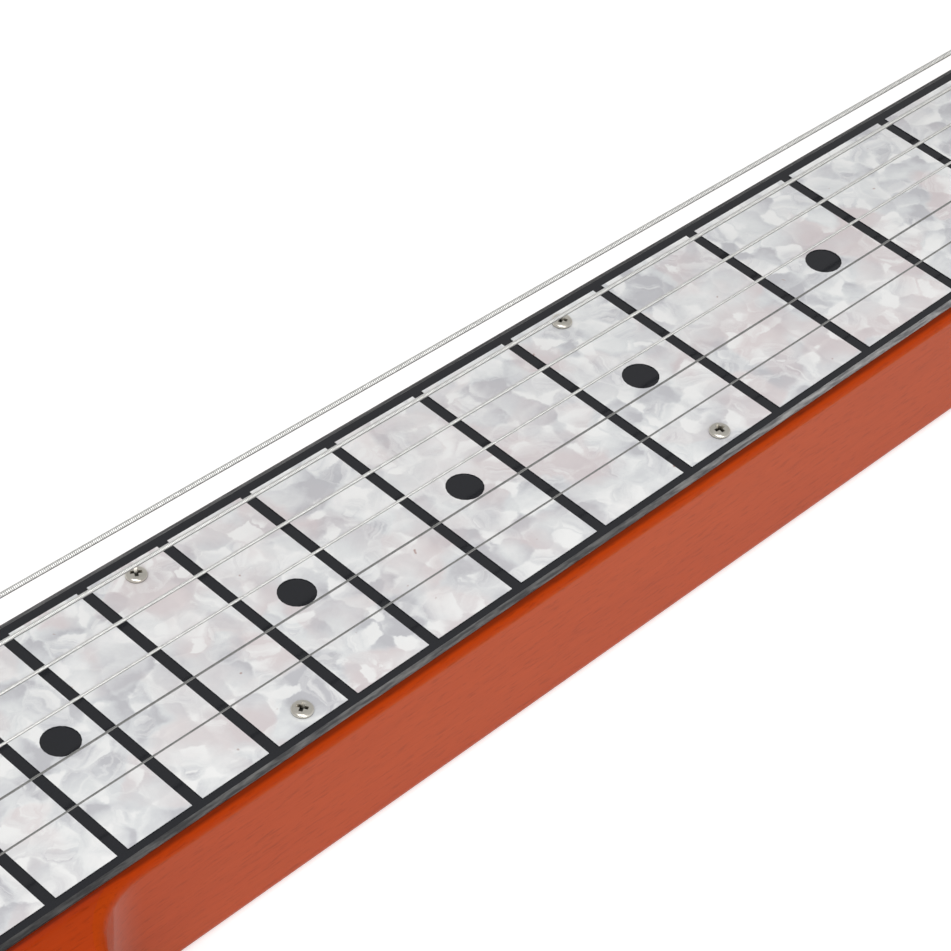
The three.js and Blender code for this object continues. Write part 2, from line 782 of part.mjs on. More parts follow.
function buildPickup() {
  const place = (geometry) => geometry.translate(pickupX, 0, 0);
  const window = fitGap + pickupCornerRadius;
  const baseTop = pickupFloor + pickupBaseThickness;
  const frameTop = bodyThickness + pickupFrameThickness;
  const frame = withHoles(
    roundedRectangle(
      pickupWidth + 2 * pickupFrameMargin,
      pickupLength + 2 * pickupFrameMargin,
      pickupFrameCornerRadius,
    ),
    roundedRectangle(pickupWidth + 2 * fitGap, pickupLength + 2 * fitGap, window).getPoints(),
  );
  add('pickup_frame', solid(place(prism(frame, bodyThickness, frameTop))), blackPlastic);

  const outline = () => roundedRectangle(pickupWidth, pickupLength, pickupCornerRadius);
  add('pickup_baseplate', solid(place(prism(outline(), pickupFloor, baseTop))), steel);
  const shell = softPrism(outline(), baseTop - pickupCoverEdge, pickupCoverTop, pickupCoverEdge);
  const below = prism(roundedRectangle(pickupWidth + overrun, pickupLength + overrun, pickupCornerRadius),
    baseTop - pickupCoverEdge - overrun, baseTop);
  const inner = prism(
    roundedRectangle(
      pickupWidth - 2 * pickupCoverWall,
      pickupLength - 2 * pickupCoverWall,
      pickupCornerRadius - pickupCoverWall,
    ),
    baseTop - overrun,
    pickupCoverTop - pickupCoverEdge,
  );
  add('pickup_cover', cut(solid(place(shell)), place(below), place(inner)), chrome);

  const bobbinTop = pickupCoverTop - pickupCoverEdge - bobbinTopGap;
  const flange = () => roundedRectangle(bobbinWidth, bobbinLength, bobbinWidth / 2 - coilInset);
  const core = (gap) => roundedRectangle(
    bobbinCoreWidth + 2 * gap,
    bobbinCoreLength + 2 * gap,
    bobbinCoreWidth / 2 + gap - coilInset,
  );
  const slot = (gap) => roundedRectangle(magnetThickness + gap, magnetLength + gap, touchGap, 1);
  const bobbin = join(
    place(prism(flange(), baseTop, baseTop + bobbinFlange)),
    place(prism(core(0), baseTop + bobbinFlange / 2, bobbinTop - bobbinFlange / 2)),
    place(prism(flange(), bobbinTop - bobbinFlange, bobbinTop)),
  );
  const slotCut = place(prism(slot(2 * fitGap), baseTop - overrun, bobbinTop + overrun));
  add('pickup_bobbin', cut(bobbin, slotCut), blackPlastic);
  const windingOutline = roundedRectangle(
    bobbinWidth - 2 * coilInset,
    bobbinLength - 2 * coilInset,
    bobbinWidth / 2 - 2 * coilInset,
  );
  const winding = withHoles(windingOutline, core(fitGap).getPoints());
  const coilLow = baseTop + bobbinFlange + touchGap;
  const coilHigh = bobbinTop - bobbinFlange - touchGap;
  add('pickup_coil', solid(place(prism(winding, coilLow, coilHigh))), copper);
  add('pickup_magnet', solid(place(prism(slot(0), baseTop, bobbinTop))), magnetGrey);
}

// Controls: plate, two potentiometers with shafts and knobs, and the tone capacitor

function knobRing(radius, z) {
  const points = [];
  const steps = 2 * knobFluteCount;
  for (let i = 0; i < steps; i += 1) {
    const r = radius - (i % 2 ? knobFluteDepth : 0);
    const angle = 2 * Math.PI * i / steps;
    points.push(new THREE.Vector3(r * Math.cos(angle), r * Math.sin(angle), z));
  }
  return points;
}

function buildControls() {
  const plateTop = bodyThickness + controlPlateThickness;
  const hole = (x) => disc(potBushingRadius + fitGap, roundSides, x, 0);
  const plate = withHoles(
    roundedRectangle(controlPlateLength, controlPlateWidth, controlPlateCornerRadius, 6),
    hole(potSpacing / 2),
    hole(-potSpacing / 2),
  );
  const plateSolid = prism(plate, bodyThickness, plateTop).translate(controlX, controlY, 0);
  add('control_plate', solid(plateSolid), chrome);

  const canTop = bodyThickness - fitGap;
  const bushingTop = plateTop + potBushingProud;
  const shaftLow = canTop - shaftDepth;
  const shaftTop = bushingTop + shaftProud - potBushingProud;
  const knobLow = plateTop + knobLift;
  const knobTop = knobLow + knobHeight;
  const pots = { volume: 1, tone: -1 };
  Object.entries(pots).forEach(([name, side]) => {
    const place = (geometry) => geometry.translate(controlX + side * potSpacing / 2, controlY, 0);
    const boreRadius = shaftRadius + fitGap;
    const pot = turned([
      [0, canTop - potCanHeight],
      [potCanRadius, canTop - potCanHeight],
      [potCanRadius, canTop],
      [potBushingRadius, canTop],
      [potBushingRadius, bushingTop],
      [boreRadius, bushingTop],
      [boreRadius, shaftLow - fitGap],
      [0, shaftLow - fitGap],
    ]);
    add(`${name}_pot`, solid(place(pot)), steel);
    add(`${name}_shaft`, solid(place(rod(shaftRadius, shaftLow, shaftTop))), brass);
    const knob = loft([
      knobRing(knobRadius, knobLow),
      knobRing(knobTopRadius, knobTop - knobChamfer),
      knobRing(knobTopRadius - knobChamfer, knobTop),
    ]);
    const recess = bore(knobRecessRadius, knobLow - overrun, knobLow + knobRecessDepth);
    const knobBore = bore(boreRadius, knobLow - overrun, shaftTop + fitGap);
    add(`${name}_knob`, cut(solid(place(knob)), place(recess), place(knobBore)), blackPlastic);
  });

  const leadEnd = potSpacing / 2 - potCanRadius - fitGap;
  const bodyEnd = capacitorLength / 2;
  const capacitor = alongX(turned([
    [0, -leadEnd],
    [capacitorLeadRadius, -leadEnd],
    [capacitorLeadRadius, -bodyEnd],
    [capacitorRadius, -bodyEnd],
    [capacitorRadius, bodyEnd],
    [capacitorLeadRadius, bodyEnd],
    [capacitorLeadRadius, leadEnd],
    [0, leadEnd],
  ], 10));
  const capacitorZ = canTop - potCanHeight / 2;
  add('tone_capacitor', solid(capacitor.translate(controlX, controlY, capacitorZ)), brownLacquer);
}

// Output jack: plate, socket and nut in the tail

function buildJack() {
  const plateShape = withHoles(
    roundedRectangle(jackPlateHeight, jackPlateLength, jackPlateCornerRadius),
    disc(jackBushingRadius + fitGap, roundSides),
  );
  const place = (geometry) => alongX(geometry).translate(tailX, jackY, jackZ);
  add('jack_plate', solid(place(prism(plateShape, -jackPlateThickness, 0))), chrome);
  const socket = turned([
    [0, fitGap + jackCanLength],
    [jackCanRadius, fitGap + jackCanLength],
    [jackCanRadius, fitGap],
    [jackBushingRadius, fitGap],
    [jackBushingRadius, -jackReach],
    [jackSocketRadius, -jackReach],
    [jackSocketRadius, fitGap + jackCanLength - jackSocketEndWall],
    [0, fitGap + jackCanLength - jackSocketEndWall],
  ]);
  add('jack_socket', solid(place(socket)), nickel);
  const hexagon = disc(jackNutAcross / 2 / Math.cos(Math.PI / 6), 6);
  const nutShape = withHoles(new THREE.Shape(hexagon), disc(jackBushingRadius + fitGap, roundSides));
  const nutLow = -jackPlateThickness - jackNutHeight;
  add('jack_nut', solid(place(prism(nutShape, nutLow, -jackPlateThickness))), chrome);
}

// Tuners. One unit is made about its post, for the bass side; the treble side mirrors it.

// A toothed wheel whose teeth lean with the lead of the worm
function gearWheel() {
  const outline = [];
  for (let i = 0; i < gearTeeth; i += 1) {
    const middle = 2 * Math.PI * i / gearTeeth;
    const corners = [
      [gearRootRadius, -toothRootHalf],
      [gearTipRadius, -toothTipHalf],
      [gearTipRadius, toothTipHalf],
      [gearRootRadius, toothRootHalf],
    ];
    corners.forEach(([r, half]) => outline.push([r, middle + half / r]));
  }
  const lean = wormLead / (2 * Math.PI * wormPitchRadius) / gearPitchRadius;
  const ring = (z) => outline.map(([r, angle]) => {
    const turnedAngle = angle + lean * z;
    return new THREE.Vector3(r * Math.cos(turnedAngle), r * Math.sin(turnedAngle), z);
  });
  const wheel = loft([ring(-gearThickness / 2), ring(gearThickness / 2)]);
  const hub = bore(postStubRadius + touchGap, -gearThickness, gearThickness);
  return surface(cut(solid(wheel), hub)).translate(0, 0, wormZ);
}

// The thread: a trapezoid swept along a helix and joined to the core, tapered away at both ends
function wormThread() {
  const steps = wormTurns * wormSteps;
  const base = wormCoreRadius - wormBury;
  const baseHalf = toothRootHalf + (toothRootHalf - toothTipHalf) * wormBury / (wormCrestRadius - wormCoreRadius);
  const rings = [];
  for (let k = 0; k <= steps; k += 1) {
    const crest = k === 0 || k === steps ? wormCoreRadius - wormBury / 2 : wormCrestRadius;
    const angle = 2 * Math.PI * (k / wormSteps - (wormTurns + 1) / 2);
    const along = wormLead * (k / wormSteps - wormTurns / 2);
    const section = [[base, -baseHalf], [crest, -toothTipHalf], [crest, toothTipHalf], [base, baseHalf]];
    rings.push(section.map(([r, half]) => {
      const point = new THREE.Vector3(-r * Math.cos(angle), along + half, r * Math.sin(angle));
      point.flat = new THREE.Vector2(r, half);
      return point;
    }));
  }
  return loft(rings);
}

function wormShaft(buttonStart) {
  const inner = -tabInnerHalf - tabThickness - shaftInnerProud;
  const outer = buttonStart + buttonShaftDepth;
  const collarEnd = tabInnerHalf - fitGap;
  const collarStart = collarEnd - wormCollarLength;
  const profile = [
    [0, inner],
    [wormShaftRadius, inner],
    [wormShaftRadius, -collarEnd],
    [wormCollarRadius, -collarEnd],
    [wormCollarRadius, -collarStart],
    [wormCoreRadius, -collarStart],
    [wormCoreRadius, collarStart],
    [wormCollarRadius, collarStart],
    [wormCollarRadius, collarEnd],
    [wormShaftRadius, collarEnd],
    [wormShaftRadius, outer],
    [0, outer],
  ];
  const shaft = join(alongY(turned(profile, wormSteps)), wormThread());
  return surface(shaft).translate(wormOffset, 0, wormZ);
}

function button(buttonStart) {
  const half = buttonWidth / 2;
  const end = buttonStart + buttonLength;
  const shoulder = buttonStart + buttonNeckHalf;
  const top = [
    new THREE.Vector2(buttonStart, buttonNeckHalf),
    ...bend(
      new THREE.Vector2(shoulder, buttonNeckHalf),
      new THREE.Vector2(shoulder + buttonEdge, half),
      new THREE.Vector2(shoulder + buttonEdge, half),
      new THREE.Vector2(mix(shoulder, end, 0.5), half),
      4,
    ),
    ...bend(
      new THREE.Vector2(mix(shoulder, end, 0.5), half),
      new THREE.Vector2(end - buttonEdge, half),
      new THREE.Vector2(end, half - buttonEdge),
      new THREE.Vector2(end, 0),
      4,
    ).slice(1),
  ];
  const low = -buttonThickness / 2;
  const body = softPrism(mirrored(top), low, -low, buttonEdge, 1).rotateZ(Math.PI / 2);
  const socket = alongY(bore(wormShaftRadius + touchGap, -overrun, buttonShaftDepth + touchGap));
  return surface(cut(solid(body), socket.translate(0, buttonStart, 0))).translate(wormOffset, 0, wormZ);
}

function tunerPost() {
  const gearLow = wormZ - gearThickness / 2;
  const gearTop = wormZ + gearThickness / 2;
  const plateLow = headBottom - plateThickness;
  const waistTop = wrapBottom + postWaistHeight;
  const capTop = waistTop + postCapHeight;
  const post = turned([
    [0, gearLow - postStubProud],
    [postStubRadius, gearLow - postStubProud],
    [postStubRadius, gearTop + touchGap],
    [postCollarRadius, gearTop + touchGap],
    [postCollarRadius, plateLow - fitGap],
    [postRadius, plateLow - fitGap],
    [postRadius, wrapBottom],
    [postWaistRadius, wrapBottom],
    [postWaistRadius, waistTop],
    [postCapRadius, waistTop],
    [postCapRadius, capTop - postCapChamfer],
    [postCapRadius - postCapChamfer, capTop],
    [0, capTop],
  ], postSides);
  const holeZ = waistTop - postHoleRadius - postCapChamfer;
  const hole = alongY(rod(postHoleRadius, -postRadius - overrun, postRadius + overrun, 6));
  return surface(cut(solid(post), hole.translate(0, 0, holeZ)));
}

function postBushing() {
  const inside = postRadius + fitGap;
  const flangeTop = headTop + bushingFlangeHeight;
  const sleeveLow = headTop - bushingSleeveLength;
  return turned([
    [inside, sleeveLow],
    [bushingSleeveRadius, sleeveLow],
    [bushingSleeveRadius, headTop],
    [bushingFlangeRadius, headTop],
    [bushingFlangeRadius, flangeTop - bushingChamfer],
    [bushingFlangeRadius - bushingChamfer, flangeTop],
    [inside, flangeTop],
    [inside, sleeveLow],
  ], postSides);
}

// A strip with a hole for each post and two ears for each worm shaft
function tunerPlate() {
  const span = (tunersPerSide - 1) * postSpacing;
  const width = plateInner + plateOuter;
  const length = span + wormOffset + 2 * plateEnd;
  const outline = roundedRectangle(length, width, plateCornerRadius);
  const low = headBottom - plateThickness;
  const middle = new THREE.Vector2((span + wormOffset) / 2, (plateOuter - plateInner) / 2);
  let plate = solid(prism(outline, low, headBottom).translate(middle.x, middle.y, 0));
  for (let row = 0; row < tunersPerSide; row += 1) {
    const x = row * postSpacing;
    plate = cut(plate, bore(postRadius + fitGap, low - overrun, headBottom + overrun).translate(x, 0, 0));
    for (const side of [1, -1]) {
      const ear = new THREE.Shape([
        new THREE.Vector2(-tabHalfWidth, low + plateThickness / 2),
        ...arc(0, wormZ, tabHalfWidth, Math.PI, 2 * Math.PI, 4),
        new THREE.Vector2(tabHalfWidth, low + plateThickness / 2),
      ]);
      const holeRadius = (wormShaftRadius + fitGap) / Math.cos(Math.PI / boreSides);
      ear.holes.push(new THREE.Path(disc(holeRadius, boreSides, 0, wormZ)));
      const near = side > 0 ? tabInnerHalf : -tabInnerHalf - tabThickness;
      const tab = prism(ear, -near - tabThickness, -near).rotateX(Math.PI / 2);
      plate = plate.add(solid(tab.translate(x + wormOffset, 0, 0)));
    }
  }
  return surface(plate);
}

function buildTuners() {
  const edge = headHalf - postY;
  const buttonStart = edge + buttonGapToHead;
  const pieces = [
    ['tuner_post', tunerPost(), nickel],
    ['tuner_gear', gearWheel(), brass],
    ['tuner_worm', wormShaft(buttonStart), nickel],
    ['tuner_button', button(buttonStart), creamPlastic],
    ['post_bushing', postBushing(), chrome],
  ];
  const place = (geometry, side, row) => {
    const handed = side > 0 ? geometry.clone() : mirrorY(geometry);
    return solid(handed.translate(postX(row), side * postY, 0));
  };
  add('tuner_plate_bass', place(tunerPlate(), 1, 0), nickel);
  add('tuner_plate_treble', place(tunerPlate(), -1, 0), nickel);
  stringRadii.forEach((_, i) => {
    const { side, row } = postOf(i);
    pieces.forEach(([name, geometry, material]) => {
      add(`${name}_${i + 1}`, place(geometry, side, row), material);
    });
  });
}

buildBody();
buildFretboard();
buildNut();
buildBridge();
buildPickup();
buildControls();
buildJack();
buildStrings();
buildTuners();

export default guitar;
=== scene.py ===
"""Lap steel guitar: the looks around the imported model. Metres, +X from tail to headstock, +Z up."""

import json
from math import atan2, cos, hypot, pi, radians, sin, sqrt

import bmesh
import bpy
from mathutils import Matrix, Vector

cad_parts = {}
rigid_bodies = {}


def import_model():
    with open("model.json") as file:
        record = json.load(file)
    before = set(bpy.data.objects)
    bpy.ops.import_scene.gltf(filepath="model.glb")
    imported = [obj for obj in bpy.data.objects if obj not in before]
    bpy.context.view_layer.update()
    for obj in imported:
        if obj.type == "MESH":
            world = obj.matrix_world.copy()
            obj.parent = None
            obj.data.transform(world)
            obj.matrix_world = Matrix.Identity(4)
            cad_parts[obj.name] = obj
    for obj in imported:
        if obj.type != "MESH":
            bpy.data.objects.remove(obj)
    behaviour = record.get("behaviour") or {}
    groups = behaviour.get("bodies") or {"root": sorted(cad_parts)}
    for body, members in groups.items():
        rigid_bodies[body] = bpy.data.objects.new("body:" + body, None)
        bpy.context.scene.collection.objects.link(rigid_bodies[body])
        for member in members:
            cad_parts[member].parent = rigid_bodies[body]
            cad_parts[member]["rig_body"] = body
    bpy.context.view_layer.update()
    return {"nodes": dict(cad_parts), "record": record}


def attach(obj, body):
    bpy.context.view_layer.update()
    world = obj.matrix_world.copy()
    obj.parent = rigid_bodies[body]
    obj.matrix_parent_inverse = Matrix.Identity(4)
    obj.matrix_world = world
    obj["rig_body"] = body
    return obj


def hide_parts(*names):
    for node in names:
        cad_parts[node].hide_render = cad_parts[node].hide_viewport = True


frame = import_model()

nodes = frame["nodes"]
mm = 0.001

# Body, neck and fretboard
scale_length = 571.5 * mm
nut_x = 244.1 * mm
bridge_x = nut_x - scale_length
body_top = 31 * mm
board_top = 32 * mm
pearl_depth = 0.1 * mm
edge_depth = 0.27 * mm
pearl_half_at_nut = 22.72 * mm
pearl_half_at_bridge = 30.92 * mm
pearl_shift = -0.3 * mm
board_margin = 2.8 * mm
board_end = nut_x - 447.6 * mm

# Bridge, pickup, controls and jack
anchor_x = bridge_x - 26 * mm
anchor_z = 40.5 * mm
saddle_rod_z = 45.4 * mm
saddle_rod_radius = 2.5 * mm
saddle_rod_half = 38 * mm
saddle_rod_ease = 0.5 * mm
bridge_foot_top = 33.5 * mm
pickup_x = bridge_x + 52 * mm
pickup_frame_top = 33.6 * mm
control_x = bridge_x + 20 * mm
control_y = -66 * mm
control_plate_top = 32.6 * mm
pot_offset = 29 * mm
knob_top = 50 * mm
pointer_half = 0.55 * mm
pointer_start = 3 * mm
pointer_drop = 1.4 * mm
jack_plate_x = bridge_x - 81.6 * mm
jack_y = -62 * mm

# Tuners: where the posts stand, the post's radii and heights, and the bushing's
post_rows = [nut_x + (46 + 40 * row) * mm for row in range(3)]
post_y = 21 * mm
plate_low = 12.5 * mm
head_top = 27.7 * mm
ease = 0.2 * mm
post_foot = 6.5 * mm
post_foot_radius = 2.0 * mm
collar_low = 10.3 * mm
collar_top = 12.2 * mm
collar_radius = 3.9 * mm
post_radius = 3.0 * mm
waist_low = 30.6 * mm
waist_top = 36.0 * mm
waist_radius = 2.6 * mm
post_top = 38.7 * mm
post_head_radius = 3.1 * mm
post_hole_z = 34.8 * mm
post_hole_radius = 0.9 * mm
post_hole_reach = 6 * mm
bushing_low = 22.7 * mm
bushing_top = 29.5 * mm
bushing_bore = 3.3 * mm
bushing_radius = 4.6 * mm
bushing_rim_radius = 5.6 * mm

# Strings, from string 1 to string 6, and their ball ends. Each clears the saddle and the nut by the touch
# gap, its post by the post gap and its own next wrap by the wrap gap.
string_radii = [0.18 * mm, 0.21 * mm, 0.27 * mm, 0.33 * mm, 0.43 * mm, 0.53 * mm]
plain_strings = 2
winding_pitch = 0.42 * mm
first_at_nut, spread_at_nut = -20.0 * mm, 41.5 * mm
first_at_bridge, spread_at_bridge = -25.35 * mm, 53.15 * mm
nut_apex_x = nut_x + 0.6 * mm
nut_rest = 40.6 * mm
touch_gap = 0.2 * mm
post_gap = 0.3 * mm
wrap_gap = 0.5 * mm
wrap_turns = 1.75
wrap_steps = 32
saddle_steps = 5
string_sides = 16
ball_behind_anchor = 6.9 * mm
ball_radius = 1.9 * mm
ball_half = 1.7 * mm
ball_ease = 0.3 * mm
groove_radius = 1.3 * mm
groove_half = 0.9 * mm
groove_floor_half = 0.5 * mm

# Screws: the radius of each kind's head, then where they sit. The board's pairs are given by their
# distance from the nut and how far they sit inside the pearl's edge.
board_screw_radius = 2.1 * mm
bridge_screw_radius = 2.3 * mm
pickup_screw_radius = 1.9 * mm
control_screw_radius = 2.2 * mm
jack_screw_radius = 2.0 * mm
plate_screw_radius = 2.3 * mm
gear_screw_radius = 2.7 * mm
board_screw_rows = [
    (131.0 * mm, 3.05 * mm), (240.8 * mm, 3.5 * mm), (324.1 * mm, 3.3 * mm), (386.1 * mm, 3.3 * mm),
]
bridge_screw_back, bridge_screw_front, bridge_screw_side = -15 * mm, 9.1 * mm, 36 * mm
pickup_screw_side = 41.8 * mm
control_screw_end, control_screw_side = 54 * mm, 10.5 * mm
jack_screw_side = 13.6 * mm
plate_screw_rows = [-8 * mm, 23.9 * mm, 63.9 * mm, 95.8 * mm]
plate_screw_inset = 0.5 * mm

# How far the corners of the copied solids are eased
plate_edge = 0.3 * mm
sheet_edge = 0.2 * mm
frame_edge = 0.5 * mm
small_edge = 0.25 * mm
tooth_edge = 0.12 * mm
button_edge = 0.5 * mm
merge_distance = 0.002 * mm
flat_angle = radians(0.5)

# Profiles of the turned pieces: radius and height
post_profile = [
    (0, post_foot), (post_foot_radius, post_foot), (post_foot_radius, collar_low),
    (collar_radius - ease, collar_low), (collar_radius, collar_low + ease),
    (collar_radius, collar_top - ease), (collar_radius - ease, collar_top),
    (post_radius, collar_top), (post_radius, waist_low - 2.5 * ease),
    (post_radius - ease, waist_low - 1.5 * ease), (waist_radius, waist_low),
    (waist_radius, waist_top), (waist_radius + ease, waist_top + ease),
    (post_head_radius, waist_top + 2 * ease), (post_head_radius, post_top - 3 * ease),
    (post_head_radius - ease, post_top - ease), (post_head_radius - 3 * ease, post_top), (0, post_top),
]
bushing_profile = [
    (bushing_bore, bushing_low), (bushing_radius, bushing_low), (bushing_radius, head_top),
    (bushing_rim_radius, head_top), (bushing_rim_radius, bushing_top - 3 * ease),
    (bushing_rim_radius - ease, bushing_top - ease), (bushing_rim_radius - 3 * ease, bushing_top),
    (bushing_bore + ease, bushing_top), (bushing_bore, bushing_top - ease), (bushing_bore, bushing_low),
]
ball_upper = [
    (groove_radius, groove_floor_half), (ball_radius, groove_half), (ball_radius, ball_half - ball_ease),
    (ball_radius - ball_ease, ball_half), (0, ball_half),
]
ball_profile = [(out, -up) for out, up in reversed(ball_upper)] + ball_upper
post_hole_profile = [
    (0, -post_hole_reach), (post_hole_radius, -post_hole_reach), (post_hole_radius, post_hole_reach),
    (0, post_hole_reach),
]
rod_upper = [
    (saddle_rod_radius, saddle_rod_half - saddle_rod_ease),
    (saddle_rod_radius - saddle_rod_ease, saddle_rod_half), (0, saddle_rod_half),
]
rod_profile = [(out, -up) for out, up in reversed(rod_upper)] + rod_upper

# A screw's head and shank, its cross recess and where shade is painted on it, as shares of the head's
# radius, and how far round the screws of a piece are turned, in radians
screw_shares = [
    (0, 0.52), (0.35, 0.51), (0.66, 0.48), (0.82, 0.43), (0.92, 0.37), (0.98, 0.29), (1.0, 0.22),
    (0.99, 0.06), (0.95, 0), (0.5, 0), (0.5, -0.9), (0, -0.9),
]
blade_reach, blade_width, blade_depth, blade_top = 0.62, 0.38, 0.48, 0.51
blade_tip = (0.4, 0.6, 1)
recess_within, recess_below = 0.7, 0.2
foot_beyond, foot_below = 0.9, 0.1
painted_foot_shadow = 0.75
first_twist, twist_step = 0.35, 1.1


def pearl_half(distance):
    """Half the pearl's width at a distance from the nut."""
    return pearl_half_at_nut + (pearl_half_at_bridge - pearl_half_at_nut) * distance / scale_length


# Materials: small helpers, then one function for each finish


def finish(name, **sockets):
    """A new material with its tree and its shader, and some of the shader's inputs set."""
    material = bpy.data.materials.new(name)
    material.use_nodes = True
    tree = material.node_tree
    shader = tree.nodes["Principled BSDF"]
    for socket, value in sockets.items():
        shader.inputs[socket.replace("_", " ")].default_value = value
    return material, tree, shader


def node(tree, kind, inputs=None, **settings):
    """A new node. Its inputs are linked to sockets, or set to values."""
    made = tree.nodes.new(kind)
    for key, value in settings.items():
        setattr(made, key, value)
    for socket, value in (inputs or {}).items():
        if isinstance(value, bpy.types.NodeSocket):
            tree.links.new(value, made.inputs[socket])
        else:
            made.inputs[socket].default_value = value
    return made


def place_on(tree, scale=(1, 1, 1), move=(0, 0, 0)):
    """The place on the piece in metres, scaled and moved."""
    where = node(tree, "ShaderNodeTexCoord")
    mapping = node(tree, "ShaderNodeMapping", {
        "Vector": where.outputs["Object"], "Scale": scale, "Location": move,
    })
    return mapping.outputs["Vector"]


def noise(tree, vector, scale, detail, roughness, distortion=0.0):
    return node(tree, "ShaderNodeTexNoise", {
        "Vector": vector, "Scale": scale, "Detail": detail, "Roughness": roughness, "Distortion": distortion,
    })


def ramp(tree, factor, stops):
    """A colour looked up by a factor, between stops of (position, colour)."""
    made = node(tree, "ShaderNodeValToRGB", {"Fac": factor})
    band = made.color_ramp
    while len(band.elements) < len(stops):
        band.elements.new(0.5)
    for element, (position, colour) in zip(band.elements, stops):
        element.position = position
        element.color = (*colour, 1)
    return made.outputs["Color"]


def grey(value):
    return (value, value, value)


def even(tree, value):
    """A grey whose three channels are one value from the tree."""
    return node(tree, "ShaderNodeCombineColor", {"Red": value, "Green": value, "Blue": value}).outputs[0]


def math_node(tree, operation, first, second=0.0):
    return node(tree, "ShaderNodeMath", {0: first, 1: second}, operation=operation).outputs[0]


def mixed(tree, factor, first, second, blend="MIX"):
    """Two colours blended by a factor, each a socket or a value."""
    made = tree.nodes.new("ShaderNodeMix")
    made.data_type = "RGBA"
    made.blend_type = blend
    made.clamp_result = False
    for socket, value in ((0, factor), (6, first), (7, second)):
        if isinstance(value, bpy.types.NodeSocket):
            tree.links.new(value, made.inputs[socket])
        else:
            made.inputs[socket].default_value = value if socket == 0 else (*value, 1)
    return made.outputs[2]


def bumped(tree, shader, height, strength, distance):
    made = node(tree, "ShaderNodeBump", {"Height": height, "Strength": strength, "Distance": distance})
    tree.links.new(made.outputs["Normal"], shader.inputs["Normal"])


def set_input(tree, shader, socket, value):
    tree.links.new(value, shader.inputs[socket])


# Lacquer: heights below the top where the top's tone meets the side's paler tone with painted sheen, and
# distances from the board where painted shade darkens it
side_tone_below, top_tone_above = 2.9 * mm, 1.8 * mm
round_over_below, flat_within = 2.6 * mm, 0.02 * mm
corner_near, corner_far = 0.25 * mm, 0.7 * mm
corner_below = 1 * mm
board_shade_reach = 9 * mm


